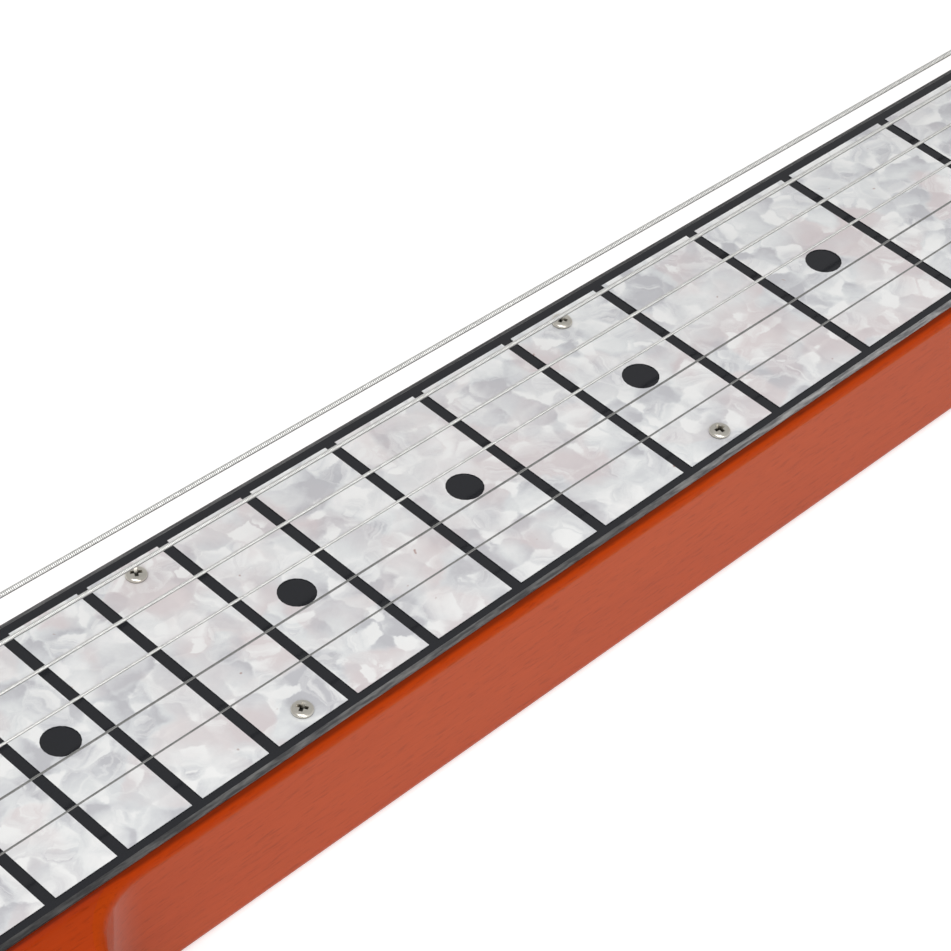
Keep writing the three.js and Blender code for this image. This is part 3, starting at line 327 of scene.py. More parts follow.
def mahogany_lacquer():
    """Red-orange lacquer over mahogany: deeper on top, paler on the sides with painted sheen, darkest along
    the board with painted shade, and more orange on the round-over with a painted highlight.
    """
    material, tree, shader = finish(
        "mahogany_lacquer", Roughness=0.4, IOR=1.5, Coat_Weight=0.2, Coat_Roughness=0.05, Coat_IOR=1.5,
    )
    shader.inputs["Specular IOR Level"].default_value = 0.05
    along = place_on(tree, scale=(0.08, 1, 1))
    broad = noise(tree, along, 38, 3, 0.5, 0.6).outputs["Fac"]
    fibres = noise(tree, along, 800, 4, 0.6, 0.4).outputs["Fac"]
    pores = noise(tree, place_on(tree, scale=(0.14, 1, 1), move=(0.3, 0.1, 0)), 1900, 3, 0.6).outputs["Fac"]
    where = node(tree, "ShaderNodeTexCoord").outputs["Object"]
    apart = node(tree, "ShaderNodeSeparateXYZ", {"Vector": where})
    # The side's tone is paler than the top's: painted sheen, the reflection of the white floor in the
    # lacquer
    top_tone = ramp(tree, broad, [(0.25, (0.450, 0.038, 0.0010)), (0.75, (0.525, 0.057, 0.0025))])
    side_tone_with_painted_sheen = ramp(tree, broad, [(0.25, (0.425, 0.053, 0.0090)), (0.75, (0.490, 0.073, 0.0135))])
    is_top = node(tree, "ShaderNodeMapRange", {
        "Value": apart.outputs["Z"], "From Min": body_top - side_tone_below,
        "From Max": body_top - top_tone_above,
    }).outputs["Result"]
    colour = mixed(tree, is_top, side_tone_with_painted_sheen, top_tone)
    fibre_tone = ramp(tree, fibres, [(0.3, grey(0.95)), (0.7, grey(1.04))])
    pore_tone = ramp(tree, pores, [(0.30, grey(0.74)), (0.46, grey(1.0))])
    colour = mixed(tree, 1.0, colour, fibre_tone, "MULTIPLY")
    colour = mixed(tree, 0.8, colour, pore_tone, "MULTIPLY")

    # Painted shadow in the corner along the board, and painted shade on the top that is darker and redder
    # near it
    slope = (pearl_half(scale_length) - pearl_half(0)) / scale_length
    half = math_node(tree, "MULTIPLY", math_node(tree, "SUBTRACT", nut_x, apart.outputs["X"]), slope)
    half = math_node(tree, "ADD", half, pearl_half(0) + board_margin)
    sideways = math_node(tree, "ABSOLUTE", math_node(tree, "SUBTRACT", apart.outputs["Y"], pearl_shift))
    outward = math_node(tree, "SUBTRACT", sideways, half)
    outward = math_node(tree, "MAXIMUM", outward, math_node(tree, "SUBTRACT", board_end, apart.outputs["X"]))
    outward = math_node(tree, "MAXIMUM", outward, math_node(tree, "SUBTRACT", apart.outputs["X"], nut_x))
    painted_corner_shadow = node(tree, "ShaderNodeMapRange", {
        "Value": outward, "From Min": corner_near, "From Max": corner_far, "To Min": 0.5, "To Max": 1.0,
    }).outputs["Result"]
    below = math_node(tree, "LESS_THAN", apart.outputs["Z"], body_top - corner_below)
    painted_corner_shadow = math_node(tree, "MAXIMUM", painted_corner_shadow, below)
    colour = mixed(tree, 1.0, colour, even(tree, painted_corner_shadow), "MULTIPLY")
    painted_board_shade = ramp(tree, math_node(tree, "MULTIPLY", outward, 1 / board_shade_reach), [
        (0.05, (0.84, 0.70, 0.7)), (0.26, (0.95, 0.95, 0.9)), (1.0, (1.0, 1.0, 1.0)),
    ])
    painted_board_shade = mixed(tree, is_top, grey(1.0), painted_board_shade)

    # The round-over between them reflects less, and a painted highlight makes it more orange
    flat_top = math_node(tree, "GREATER_THAN", apart.outputs["Z"], body_top - flat_within)
    low_side = math_node(tree, "LESS_THAN", apart.outputs["Z"], body_top - round_over_below)
    glossy = math_node(tree, "MAXIMUM", flat_top, low_side)
    set_input(tree, shader, "Coat Weight", mixed(tree, glossy, grey(0.07), grey(0.2)))
    painted_round_over_highlight = mixed(tree, glossy, (1.02, 1.13, 0.6), grey(1.0))
    colour = mixed(tree, 1.0, colour, painted_round_over_highlight, "MULTIPLY")
    set_input(tree, shader, "Base Color", mixed(tree, 1.0, colour, painted_board_shade, "MULTIPLY"))
    return material


def bend(tree, vector, scale, detail, amount):
    """The places moved about by noise, so that what is drawn on them gets ragged outlines."""
    push = noise(tree, vector, scale, detail, 0.55).outputs["Color"]
    push = node(tree, "ShaderNodeVectorMath", {0: push, 1: grey(0.5)}, operation="SUBTRACT").outputs[0]
    push = node(tree, "ShaderNodeVectorMath", {0: push, "Scale": amount}, operation="SCALE").outputs[0]
    return node(tree, "ShaderNodeVectorMath", {0: vector, 1: push}, operation="ADD").outputs[0]


def flakes(tree, vector, scale, softness):
    """Flakes: a tone that runs across each one, the fine layers in it, and a number for each."""
    cells = node(tree, "ShaderNodeTexVoronoi", {"Vector": vector, "Scale": scale, "Randomness": 1.0},
                 feature="SMOOTH_F1")
    cells.inputs["Smoothness"].default_value = softness
    from_middle = node(tree, "ShaderNodeVectorMath", {0: vector, 1: cells.outputs["Position"]},
                       operation="SUBTRACT").outputs[0]
    heading = node(tree, "ShaderNodeVectorMath", {0: cells.outputs["Color"], 1: grey(0.5)},
                   operation="SUBTRACT").outputs[0]
    across = node(tree, "ShaderNodeVectorMath", {0: from_middle, 1: heading},
                  operation="DOT_PRODUCT").outputs["Value"]
    number = node(tree, "ShaderNodeSeparateColor", {"Color": cells.outputs["Color"]}).outputs[0]
    sheet = node(tree, "ShaderNodeCombineXYZ", {"X": across, "Y": number}).outputs[0]
    layers = noise(tree, sheet, layer_scale, 3, 0.55).outputs["Fac"]
    tone = math_node(tree, "ADD", math_node(tree, "MULTIPLY", across, scale * 1.5), 0.25)
    tone = math_node(tree, "ADD", tone, math_node(tree, "MULTIPLY", number, 0.30))
    return math_node(tree, "ADD", tone, math_node(tree, "MULTIPLY", layers, 0.22)), layers, number


# Pearl: the scales of its flakes, of the ripples in their outlines and of the layers in them, and how far
# the outlines are pushed about
large_flakes, large_ripple, large_push = 86, 80, 9 * mm
small_flakes, small_ripple, small_push = 170, 170, 5 * mm
layer_scale = 1500


def pearl_tone(tree, where):
    """Pearl plastic: soft cloudy flakes, some of them warm, with bright layers and a few dark specks."""
    rippled = bend(tree, where, large_ripple, 4, large_push)
    large, _, large_number = flakes(tree, rippled, large_flakes, 0.36)
    rippled = bend(tree, where, small_ripple, 4, small_push)
    small, layers, small_number = flakes(tree, rippled, small_flakes, 0.3)
    clouds = noise(tree, where, 95, 7, 0.68, 0.5).outputs["Fac"]
    tone = math_node(tree, "MULTIPLY", large, 0.34)
    tone = math_node(tree, "ADD", tone, math_node(tree, "MULTIPLY", small, 0.24))
    tone = math_node(tree, "ADD", tone, math_node(tree, "MULTIPLY", clouds, 0.42))
    pearl = ramp(tree, tone, [
        (0.30, (0.61, 0.61, 0.64)), (0.40, (0.745, 0.755, 0.775)), (0.50, (0.84, 0.855, 0.86)),
        (0.58, (0.915, 0.925, 0.925)), (0.67, (1.0, 1.0, 0.99)),
    ])
    warm = noise(tree, place_on(tree, move=(0.2, 0.4, 0.1)), 62, 3, 0.5).outputs["Fac"]
    is_warm = ramp(tree, warm, [(0.38, grey(0.1)), (0.58, grey(1))])
    in_flake = ramp(tree, large_number, [(0.30, grey(0)), (0.65, grey(0.75))])
    is_warm = math_node(tree, "MULTIPLY", is_warm, in_flake)
    pearl = mixed(tree, is_warm, pearl, (0.765, 0.675, 0.68))

    # Bright layers in some of the small flakes, and a glint at the light end of others
    feather = math_node(tree, "MULTIPLY", ramp(tree, layers, [(0.44, grey(0)), (0.72, grey(0.9))]),
                        ramp(tree, small_number, [(0.46, grey(0)), (0.64, grey(1))]))
    glint = ramp(tree, math_node(tree, "ADD", small, math_node(tree, "MULTIPLY", layers, 0.25)), [
        (0.64, grey(0)), (0.92, grey(0.8)),
    ])
    pearl = mixed(tree, math_node(tree, "MAXIMUM", feather, glint), pearl, (1.0, 1.0, 0.99))
    specks = noise(tree, where, 420, 1, 0.4).outputs["Fac"]
    return mixed(tree, ramp(tree, specks, [(0.80, grey(0)), (0.84, grey(0.7))]), pearl, (0.35, 0.16, 0.12))


def pearl_and_black():
    """The pearl layer, and the black one that shows in the lines, the dots and the scraped edge."""
    material, tree, shader = finish("pearl_and_black", IOR=1.5, Coat_Weight=0.0)
    where = node(tree, "ShaderNodeTexCoord").outputs["Object"]
    height = node(tree, "ShaderNodeSeparateXYZ", {"Vector": where}).outputs["Z"]
    is_pearl = math_node(tree, "GREATER_THAN", height, board_top - pearl_depth)
    is_edge = math_node(tree, "LESS_THAN", height, board_top - edge_depth)
    pearl = pearl_tone(tree, where)
    black = ramp(tree, noise(tree, where, 3500, 3, 0.6).outputs["Fac"], [
        (0.35, (0.006, 0.007, 0.010)), (0.7, (0.011, 0.012, 0.017)),
    ])
    scraped = noise(tree, place_on(tree, scale=(0.12, 1, 1)), 1500, 4, 0.65).outputs["Fac"]
    # Grey of the scraped edge: partly real scraping, partly painted sheen
    dust_and_sheen = ramp(tree, scraped, [(0.40, (0.05, 0.05, 0.052)), (0.66, (0.17, 0.168, 0.165))])

    # Painted sheen makes the scraped edge paler, by an amount that varies along x, by share of the scale
    apart = node(tree, "ShaderNodeSeparateXYZ", {"Vector": where})
    from_nut = math_node(tree, "SUBTRACT", nut_x, apart.outputs["X"])
    from_nut = math_node(tree, "MULTIPLY", from_nut, 1 / scale_length)
    treble_edge_sheen = ramp(tree, from_nut, [
        (0.10, grey(3.0)), (0.20, grey(2.3)), (0.29, grey(0.85)), (0.40, grey(1.15)), (0.55, grey(0.4)),
    ])
    bass_edge_sheen = ramp(tree, from_nut, [(0.25, grey(0.3)), (0.40, grey(0.8))])
    painted_edge_sheen = mixed(tree, math_node(tree, "GREATER_THAN", apart.outputs["Y"], 0.0), treble_edge_sheen, bass_edge_sheen)
    edge = mixed(tree, 1.0, dust_and_sheen, painted_edge_sheen, "MULTIPLY")
    black = mixed(tree, is_edge, black, edge)
    set_input(tree, shader, "Base Color", mixed(tree, is_pearl, black, pearl))
    flat = ramp(tree, is_pearl, [(0.0, grey(0.10)), (1.0, grey(0.12))])
    set_input(tree, shader, "Roughness", mixed(tree, is_edge, flat, grey(0.34)))
    bumped(tree, shader, math_node(tree, "MULTIPLY", scraped, is_edge), 0.5, 0.4 * mm)
    return material


def plated(name, colour, roughness):
    """Plated or bare metal with cloudy wear. Recesses, and the foot of a screw's head, are darker with
    painted shade.
    """
    material, tree, shader = finish(name, Metallic=1.0)
    where = place_on(tree)
    cloud = noise(tree, where, 60, 3, 0.6).outputs["Fac"]
    fine = noise(tree, where, 2200, 2, 0.5).outputs["Fac"]
    tone = ramp(tree, cloud, [(0.3, tuple(c * 0.93 for c in colour)), (0.7, colour)])
    # Painted shade in recesses, and a painted contact shadow at the foot of a screw's head
    painted_recess_shade = node(tree, "ShaderNodeAttribute", attribute_name="painted_recess_shade").outputs["Fac"]
    tone = mixed(tree, painted_recess_shade, tone, tuple(c * 0.1 for c in colour))
    worn = ramp(tree, cloud, [(0.3, grey(roughness)), (0.75, grey(roughness * 1.7))])
    set_input(tree, shader, "Base Color", tone)
    set_input(tree, shader, "Roughness", worn)
    bumped(tree, shader, fine, 0.05, 0.05 * mm)
    return material


def moulded(name, colour, roughness):
    """Moulded plastic or polished bone: a little cloudy, under a thin gloss."""
    material, tree, shader = finish(name, IOR=1.5, Coat_Weight=0.3, Coat_Roughness=0.08)
    where = place_on(tree)
    cloud = noise(tree, where, 120, 3, 0.5).outputs["Fac"]
    tone = ramp(tree, cloud, [(0.3, tuple(c * 0.9 for c in colour)), (0.7, colour)])
    worn = ramp(tree, cloud, [(0.3, grey(roughness)), (0.7, grey(roughness * 1.3))])
    set_input(tree, shader, "Base Color", tone)
    set_input(tree, shader, "Roughness", worn)
    bumped(tree, shader, noise(tree, where, 1500, 2, 0.5).outputs["Fac"], 0.05, 0.1 * mm)
    return material


def knob_plastic(name, centre):
    """Black plastic with a white pointer line from the middle of the top to its edge."""
    material, tree, shader = finish(name, IOR=1.5, Roughness=0.25, Coat_Weight=0.3, Coat_Roughness=0.08)
    where = place_on(tree)
    apart = node(tree, "ShaderNodeSeparateXYZ", {"Vector": where})
    beside = math_node(tree, "ABSOLUTE", math_node(tree, "SUBTRACT", apart.outputs["X"], centre))
    narrow = math_node(tree, "LESS_THAN", beside, pointer_half)
    outer = math_node(tree, "GREATER_THAN", apart.outputs["Y"], control_y + pointer_start)
    upper = math_node(tree, "GREATER_THAN", apart.outputs["Z"], knob_top - pointer_drop)
    in_line = math_node(tree, "MULTIPLY", math_node(tree, "MULTIPLY", narrow, outer), upper)
    cloud = noise(tree, where, 120, 3, 0.5).outputs["Fac"]
    tone = ramp(tree, cloud, [(0.3, (0.010, 0.010, 0.012)), (0.7, (0.016, 0.016, 0.018))])
    set_input(tree, shader, "Base Color", mixed(tree, in_line, tone, (0.8, 0.8, 0.78)))
    bumped(tree, shader, noise(tree, where, 1500, 2, 0.5).outputs["Fac"], 0.05, 0.1 * mm)
    return material


def string_steel(name, pitch):
    """Bare steel, or nickel windings of the given pitch. The underside gets painted shade, and so do the
    grooves between the windings.
    """
    material, tree, shader = finish(name, Metallic=1.0, Roughness=0.45 if pitch else 0.25)
    cloud = noise(tree, place_on(tree), 900, 2, 0.5).outputs["Fac"]
    low, high, darkest_underside_shade = (0.84, 0.97, 0.36) if pitch else (0.32, 0.42, 0.5)
    tone = ramp(tree, cloud, [(0.3, (low, low, low * 0.97)), (0.7, (high, high, high * 0.97))])
    upward = node(tree, "ShaderNodeAttribute", attribute_name="upward").outputs["Fac"]
    # Painted shade, darkest on the underside of the wire
    painted_underside_shade = node(tree, "ShaderNodeMapRange", {
        "Value": upward, "From Min": 0.0, "From Max": 0.38, "To Min": darkest_underside_shade, "To Max": 1.0,
    }).outputs["Result"]
    tone = mixed(tree, 1.0, tone, even(tree, painted_underside_shade), "MULTIPLY")
    if pitch:
        along = node(tree, "ShaderNodeAttribute", attribute_name="along").outputs["Fac"]
        wave = math_node(tree, "SINE", math_node(tree, "MULTIPLY", along, 2 * pi / pitch))
        # Painted shade in the grooves between the windings
        painted_groove_shade = node(tree, "ShaderNodeMapRange", {
            "Value": wave, "From Min": -1.0, "From Max": 0.1, "To Min": 0.85, "To Max": 1.0,
        }).outputs["Result"]
        tone = mixed(tree, 1.0, tone, even(tree, painted_groove_shade), "MULTIPLY")
        bumped(tree, shader, wave, 1.0, pitch * 0.09)
    set_input(tree, shader, "Base Color", tone)
    return material


# Pieces


def loose(name, mesh):
    """A bare object that takes over a mesh."""
    data = bpy.data.meshes.new(name)
    mesh.to_mesh(data)
    mesh.free()
    made = bpy.data.objects.new(name, data)
    bpy.context.scene.collection.objects.link(made)
    return made


def new_piece(name, mesh, material, smooth, body="guitar"):
    """A piece in its finish, riding on a body. Its edges look smooth up to an angle in degrees."""
    made = loose(name, mesh)
    data = made.data
    data.materials.append(material)
    data.polygons.foreach_set("use_smooth", [True] * len(data.polygons))
    data.set_sharp_from_angle(angle=radians(smooth))
    weighted = made.modifiers.new("even_normals", "WEIGHTED_NORMAL")
    weighted.keep_sharp = True
    weighted.weight = 80
    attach(made, body)
    return made


def refined(node_name, angle=35, edge=0.0, steps=2, rounding=0):
    """A copy of a CAD node with its corners merged, its edges eased, and rounded all over if asked."""
    mesh = bmesh.new()
    mesh.from_mesh(nodes[node_name].data)
    bmesh.ops.remove_doubles(mesh, verts=mesh.verts, dist=merge_distance)
    bmesh.ops.dissolve_limit(mesh, angle_limit=flat_angle, verts=mesh.verts, edges=mesh.edges)
    if edge:
        sharp = [e for e in mesh.edges if e.is_manifold and e.calc_face_angle() > radians(angle)]
        bmesh.ops.bevel(mesh, geom=sharp, offset=edge, segments=steps, profile=0.5, affect="EDGES",
                        material=-1, clamp_overlap=True)
    made = stand_in(mesh, node_name, 180 if rounding else angle)
    if rounding:
        rounded = made.modifiers.new("rounded", "SUBSURF")
        rounded.levels = rounded.render_levels = rounding

        # It comes before the modifier that evens the normals
        made.modifiers.move(1, 0)


def stand_in(mesh, node_name, angle):
    """Shows a mesh in the place of a CAD node, in that node's own finish."""
    body = nodes[node_name]["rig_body"]
    made = new_piece(node_name + "_shown", mesh, finish_of[node_name], smooth=angle, body=body)
    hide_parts(node_name)
    return made


def string_row(number):
    """The side (+1 bass) and the row of a string's post, the outer strings nearest the nut."""
    bass = number > 3
    return (1 if bass else -1), (6 - number if bass else number - 1)


def string_path(number):
    """A string's middle line: ball end, anchor, saddle, nut, and its wraps up the waist of its post."""
    radius = string_radii[number - 1]
    share = (number - 1) / 5
    y_nut = first_at_nut + spread_at_nut * share
    y_bridge = first_at_bridge + spread_at_bridge * share
    leave = anchor_x + radius
    path = [(anchor_x - ball_behind_anchor, y_bridge, anchor_z), (leave, y_bridge, anchor_z)]

    # Over the saddle rod, from the slope up to level
    lift = saddle_rod_radius + touch_gap + radius
    slope = atan2(saddle_rod_z + lift - anchor_z, bridge_x - leave)
    for step in range(saddle_steps):
        angle = pi / 2 + slope * (1 - step / (saddle_steps - 1))
        path.append((bridge_x + lift * cos(angle), y_bridge, saddle_rod_z + lift * sin(angle)))
    path.append((nut_apex_x, y_nut, nut_rest + touch_gap + radius))

    # Straight to where it meets its post, then round it
    side, row = string_row(number)
    centre = (post_rows[row], side * post_y)
    wrap = waist_radius + post_gap + radius
    away = (nut_apex_x - centre[0], y_nut - centre[1])
    start = atan2(away[1], away[0]) + side * atan2(sqrt(hypot(*away) ** 2 - wrap ** 2), wrap)
    pitch = 2 * radius + wrap_gap
    for step in range(int(wrap_turns * wrap_steps) + 1):
        turns = step / wrap_steps
        angle = start + side * 2 * pi * turns
        height = waist_low + radius + pitch * turns
        path.append((centre[0] + wrap * cos(angle), centre[1] + wrap * sin(angle), height))
    return [Vector(p) for p in path]


def swept(path, radius, sides):
    """A round wire along a path. Its vertices keep how far along and how high on the wire they are."""
    mesh = bmesh.new()
    along = mesh.verts.layers.float.new("along")
    upward = mesh.verts.layers.float.new("upward")
    last = len(path) - 1
    heading = [(path[min(i + 1, last)] - path[max(i - 1, 0)]).normalized() for i in range(last + 1)]
    turn = heading[0].to_track_quat("Z", "Y")
    before = Matrix.LocRotScale(path[0], turn, None)
    ring = bmesh.ops.create_circle(mesh, cap_ends=False, segments=sides, radius=radius, matrix=before)
    ring = ring["verts"]
    edges = list(mesh.edges)
    for vert in ring:
        vert[upward] = (vert.co.z - path[0].z) / radius
    length = 0.0
    for i in range(1, last + 1):
        made = bmesh.ops.extrude_edge_only(mesh, edges=edges)["geom"]
        edges = [g for g in made if isinstance(g, bmesh.types.BMEdge)]
        ring = [g for g in made if isinstance(g, bmesh.types.BMVert)]
        turn = heading[i - 1].rotation_difference(heading[i]) @ turn
        after = Matrix.LocRotScale(path[i], turn, None)
        bmesh.ops.transform(mesh, matrix=after @ before.inverted(), verts=ring)
        before = after
        length += (path[i] - path[i - 1]).length
        for vert in ring:
            vert[along] = length
            vert[upward] = (vert.co.z - path[i].z) / radius
    bmesh.ops.holes_fill(mesh, edges=mesh.edges, sides=0)
    bmesh.ops.recalc_face_normals(mesh, faces=mesh.faces)
    return mesh


def moved(mesh, place, up=(0, 0, 1), twist=0.0):
    """Stands a mesh that was made about the z axis at a place, with its top towards up."""
    stand = Vector(up).to_track_quat("Z", "Y").to_matrix().to_4x4()
    matrix = Matrix.Translation(place) @ stand @ Matrix.Rotation(twist, 4, "Z")
    bmesh.ops.transform(mesh, matrix=matrix, verts=mesh.verts)
    return mesh


def together(*meshes):
    """One mesh that holds them all."""
    whole = meshes[0]
    for other in meshes[1:]:
        stored = bpy.data.meshes.new("joined")
        other.to_mesh(stored)
        other.free()
        whole.from_mesh(stored)
    return whole


def cut_out(mesh, *tools):
    """Takes the tools away from a mesh, and returns what is left."""
    piece = loose("being_cut", mesh)
    cutters = [loose("cutter", tool) for tool in tools]
    for cutter in cutters:
        step = piece.modifiers.new("cut", "BOOLEAN")
        step.operation, step.object, step.solver = "DIFFERENCE", cutter, "EXACT"
    bpy.context.view_layer.update()
    graph = bpy.context.evaluated_depsgraph_get()
    result = bpy.data.meshes.new_from_object(piece.evaluated_get(graph))
    left = bmesh.new()
    left.from_mesh(result)
    for done in (piece, *cutters):
        bpy.data.objects.remove(done)
    return left


def spun(profile, sides=48):
    """A turned shape: a profile of (radius, height) pairs about the z axis."""
    mesh = bmesh.new()
    points = [mesh.verts.new((r, 0, h)) for r, h in profile]
    edges = [mesh.edges.new(pair) for pair in zip(points, points[1:])]
    bmesh.ops.spin(mesh, geom=points + edges, cent=(0, 0, 0), axis=(0, 0, 1), angle=2 * pi, steps=sides,
                   use_merge=True)
    bmesh.ops.remove_doubles(mesh, verts=mesh.verts, dist=1e-6)
    bmesh.ops.recalc_face_normals(mesh, faces=mesh.faces)
    return mesh


def cross_blade(reach, width, depth, top, turn):
    """One tapered blade of the cutter for a cross recess. It stands a fifth of its depth above the head."""
    mesh = bmesh.new()
    height = depth * 1.2
    blade = bmesh.ops.create_cube(mesh, size=1)["verts"]
    bmesh.ops.scale(mesh, vec=(2 * reach, width, height), verts=blade)
    tips = [v for v in blade if v.co.z < 0]
    bmesh.ops.scale(mesh, vec=blade_tip, verts=tips)
    bmesh.ops.rotate(mesh, cent=(0, 0, 0), matrix=Matrix.Rotation(turn, 3, "Z"), verts=blade)
    bmesh.ops.translate(mesh, vec=(0, 0, top - depth + height / 2), verts=blade)
    return mesh


def screw_head(radius):
    """A cross-head screw with a low pan head, its underside at height zero and its shank below."""
    head = spun([(radius * out, radius * up) for out, up in screw_shares], 40)
    blade = [radius * share for share in (blade_reach, blade_width, blade_depth, blade_top)]
    head = cut_out(head, *(cross_blade(*blade, turn) for turn in (0, pi / 2)))
    # Painted shade: full in the cross recess, and a painted contact shadow round the foot of the head
    painted_recess_shade = head.verts.layers.float.new("painted_recess_shade")
    for vert in head.verts:
        out = hypot(vert.co.x, vert.co.y)
        if out < radius * recess_within and vert.co.z < radius * recess_below:
            vert[painted_recess_shade] = 1
        elif out > radius * foot_beyond and vert.co.z < radius * foot_below:
            vert[painted_recess_shade] = painted_foot_shadow
    return head


def screws(name, radius, places, body="guitar", up=(0, 0, 1)):
    """One piece holding a screw at each place, each turned a little differently."""
    heads = [
        moved(screw_head(radius), place, up, first_twist + twist_step * count)
        for count, place in enumerate(places)
    ]
    made = new_piece(name, together(*heads), nickel, smooth=32, body=body)


# Stage: camera, floor and light. The camera is the one fitted to the photo, its turn in degrees.
picture_pixels, focal_pixels = 951, 3630.0
sensor_width = 36
camera_place = (-0.29855, -0.34614, 0.50208)
camera_turn = (47.00864, -2.68026, -44.17628)
floor_half = 20
floor_drop = 0.2 * mm
floor_glow, world_glow = 0.52, 0.51


def make_camera():
    camera = bpy.data.cameras.new("camera")
    camera.sensor_width = sensor_width
    camera.lens = focal_pixels / picture_pixels * sensor_width
    camera.clip_start = 0.01
    camera.clip_end = 50
    holder = bpy.data.objects.new("camera", camera)
    holder.location = camera_place
    holder.rotation_euler = [radians(a) for a in camera_turn]
    bpy.context.scene.collection.objects.link(holder)
    bpy.context.scene.camera = holder


def make_floor():
    """A wide white floor. What the camera, mirrors and glass see of it is brightened to plain white."""
    mesh = bmesh.new()
    bmesh.ops.create_grid(mesh, x_segments=1, y_segments=1, size=floor_half)
    floor = loose("floor", mesh)
    floor.location.z = -floor_drop
    material = bpy.data.materials.new("white_floor")
    material.use_nodes = True
    tree = material.node_tree
    tree.nodes.clear()
    rays = node(tree, "ShaderNodeLightPath")
    seen = math_node(tree, "MAXIMUM", rays.outputs["Is Camera Ray"], rays.outputs["Is Glossy Ray"])
    seen = math_node(tree, "MAXIMUM", seen, rays.outputs["Is Transmission Ray"])
    matt = node(tree, "ShaderNodeBsdfDiffuse", {"Color": (0.8, 0.8, 0.8, 1)})
    glow = node(tree, "ShaderNodeEmission", {"Strength": math_node(tree, "MULTIPLY", seen, floor_glow)})
    both = node(tree, "ShaderNodeAddShader", {0: matt.outputs[0], 1: glow.outputs[0]})
    node(tree, "ShaderNodeOutputMaterial", {"Surface": both.outputs[0]})
    floor.data.materials.append(material)


def make_world():
    world = bpy.data.worlds.new("studio")
    bpy.context.scene.world = world
    world.use_nodes = True
    background = world.node_tree.nodes["Background"]
    background.inputs["Color"].default_value = (1, 1, 1, 1)
    background.inputs["Strength"].default_value = world_glow


def softbox(name, place, width, height, power):
    """A rectangular lamp that faces the middle of the frame."""
    lamp = bpy.data.lights.new(name, "AREA")
    lamp.shape = "RECTANGLE"
    lamp.size, lamp.size_y = width, height
    lamp.energy = power
    holder = bpy.data.objects.new(name, lamp)
    holder.location = place
    holder.rotation_euler = (-Vector(place)).to_track_quat("-Z", "Y").to_euler()
    bpy.context.scene.collection.objects.link(holder)


make_camera()
make_floor()
make_world()
softbox("key", place=(-1.3, -0.9, 2.0), width=1.8, height=1.8, power=31.5)
softbox("front_fill", place=(-0.5, -1.8, 0.7), width=1.2, height=0.8, power=8)
bpy.context.scene.view_settings.view_transform = "Standard"

# Finishes

lacquer = mahogany_lacquer()
board_face = pearl_and_black()
chrome = plated("chrome_plate", (0.68, 0.69, 0.70), 0.06)
nickel = plated("nickel_plate", (0.78, 0.745, 0.67), 0.22)
steel = plated("plain_steel", (0.62, 0.62, 0.61), 0.3)
brass = plated("satin_brass", (0.74, 0.56, 0.28), 0.3)
copper = plated("copper_winding", (0.62, 0.26, 0.14), 0.4)
magnet = plated("magnet_alloy", (0.20, 0.20, 0.21), 0.5)
bone = moulded("bone", (0.78, 0.74, 0.62), 0.4)
black = moulded("black_plastic", (0.012, 0.012, 0.014), 0.25)
cream = moulded("cream_plastic", (0.78, 0.70, 0.50), 0.25)
brown = moulded("brown_dip", (0.18, 0.045, 0.02), 0.35)

by_slot = {
    "mahogany": lacquer, "pearl_board": board_face, "bone": bone, "chrome_plate": chrome,
    "nickel_plate": nickel, "steel": steel, "brass": brass, "copper_wire": copper, "magnet": magnet,
    "black_plastic": black, "cream_plastic": cream, "brown_lacquer": brown,
}
slot_of = {entry["node"]: entry["material_slot"] for entry in frame["record"]["subparts"]}
finish_of = {name: by_slot[slot] for name, slot in slot_of.items()}
for name, centre in (("volume", control_x + pot_offset), ("tone", control_x - pot_offset)):
    finish_of[name + "_knob"] = knob_plastic(name + "_knob", centre)
for name, slot in slot_of.items():
    nodes[name].data.materials.clear()
    nodes[name].data.materials.append(finish_of[name])

# Wood, bone, plates and plastic

refined("body_neck")
refined("nut", angle=30, edge=plate_edge)
refined("bridge_base", edge=plate_edge)
refined("pickup_frame", edge=frame_edge, steps=3)
refined("pickup_cover", angle=50)
refined("control_plate", edge=plate_edge)
refined("jack_plate", edge=plate_edge)
refined("jack_nut", edge=small_edge)
refined("jack_socket")
for name in ("volume", "tone"):
    refined(name + "_knob", angle=40, edge=small_edge)
for name in ("bass", "treble"):
    refined("tuner_plate_" + name, angle=30, edge=sheet_edge)

# The saddle rod, then each tuner in turn

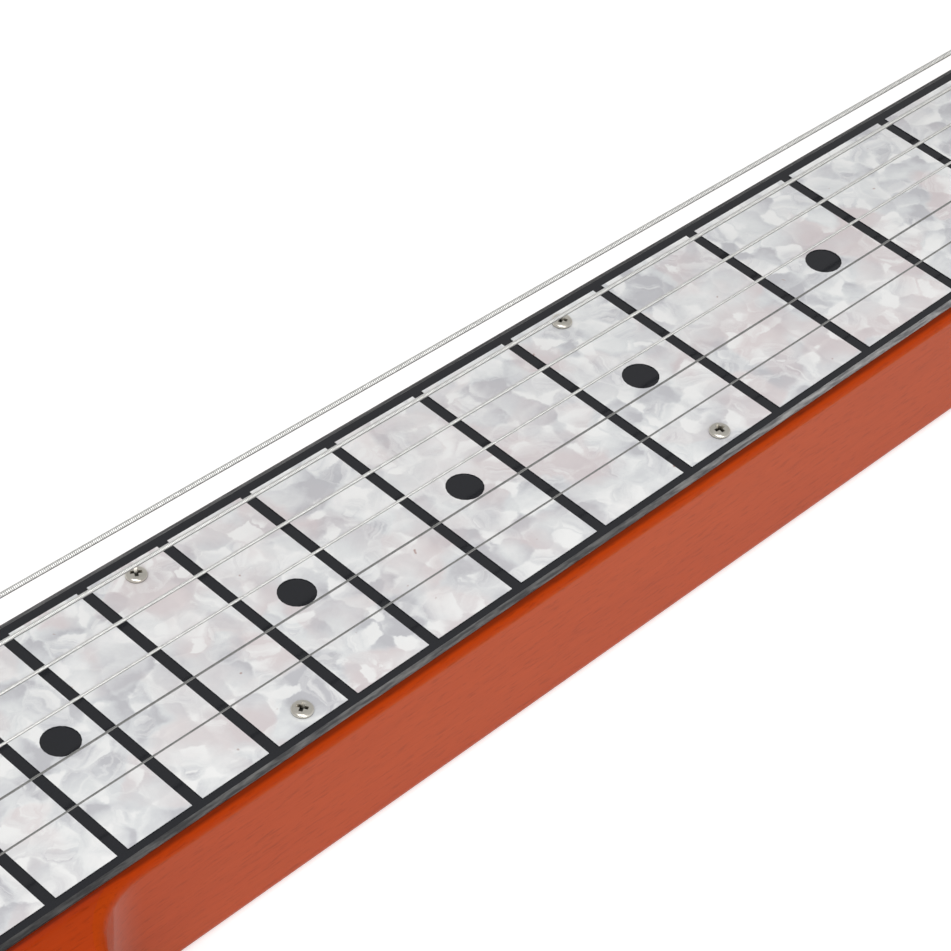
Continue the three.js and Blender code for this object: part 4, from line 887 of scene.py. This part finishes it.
rod = moved(spun(rod_profile), (bridge_x, 0, saddle_rod_z), up=(0, 1, 0))
stand_in(rod, "saddle_rod", 50)
for number in range(1, 7):
    side, row = string_row(number)
    place = Vector((post_rows[row], side * post_y, 0))
    hole = moved(spun(post_hole_profile, 24), (0, 0, post_hole_z), up=(0, 1, 0))
    post = moved(cut_out(spun(post_profile), hole), place)
    stand_in(post, f"tuner_post_{number}", 40)
    bushing = moved(spun(bushing_profile), place)
    stand_in(bushing, f"post_bushing_{number}", 40)
    refined(f"tuner_gear_{number}", angle=25, edge=tooth_edge, steps=1)
    refined(f"tuner_worm_{number}", angle=50)
    refined(f"tuner_button_{number}", angle=50, edge=button_edge, rounding=2)
    foot = place + Vector((0, 0, post_foot))
    screws(f"gear_screw_{number}", gear_screw_radius, [foot], body=f"post_{number}", up=(0, 0, -1))

# Strings with their ball ends: two plain and four wound

for number, radius in enumerate(string_radii, 1):
    pitch = winding_pitch * radius / string_radii[-1] if number > plain_strings else 0
    path = string_path(number)
    spool = moved(spun(ball_profile, 32), path[0], up=(1, 0, 0))
    mesh = together(swept(path, radius, string_sides), spool)
    made = new_piece(f"string_{number}_wire", mesh, string_steel(f"string_{number}_metal", pitch), smooth=50)
    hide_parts(f"string_{number}")

# Screws: two by two through the board, then those of the bridge, the pickup's frame and the plates

board_screws = []
for distance, inset in board_screw_rows:
    sideways = pearl_half(distance) - inset
    for side in (1, -1):
        board_screws.append((nut_x - distance, pearl_shift + side * sideways, board_top))
screws("board_screws", board_screw_radius, board_screws)

bridge_screws = []
for x, sides in ((bridge_screw_back, (-1, 0, 1)), (bridge_screw_front, (-1, 1))):
    for side in sides:
        bridge_screws.append((bridge_x + x, side * bridge_screw_side, bridge_foot_top))
screws("bridge_screws", bridge_screw_radius, bridge_screws)
screws("pickup_frame_screws", pickup_screw_radius, [
    (pickup_x, side * pickup_screw_side, pickup_frame_top) for side in (-1, 1)
])
screws("control_plate_screws", control_screw_radius, [
    (control_x + end * control_screw_end, control_y + side * control_screw_side, control_plate_top)
    for end in (-1, 1) for side in (-1, 1)
])
screws("jack_plate_screws", jack_screw_radius, [
    (jack_plate_x, jack_y + side * jack_screw_side, body_top / 2) for side in (-1, 1)
], up=(-1, 0, 0))
for name, side in (("bass", 1), ("treble", -1)):
    screws(f"tuner_plate_{name}_screws", plate_screw_radius, [
        (post_rows[0] + x, side * (post_y - plate_screw_inset), plate_low) for x in plate_screw_rows
    ], up=(0, 0, -1))
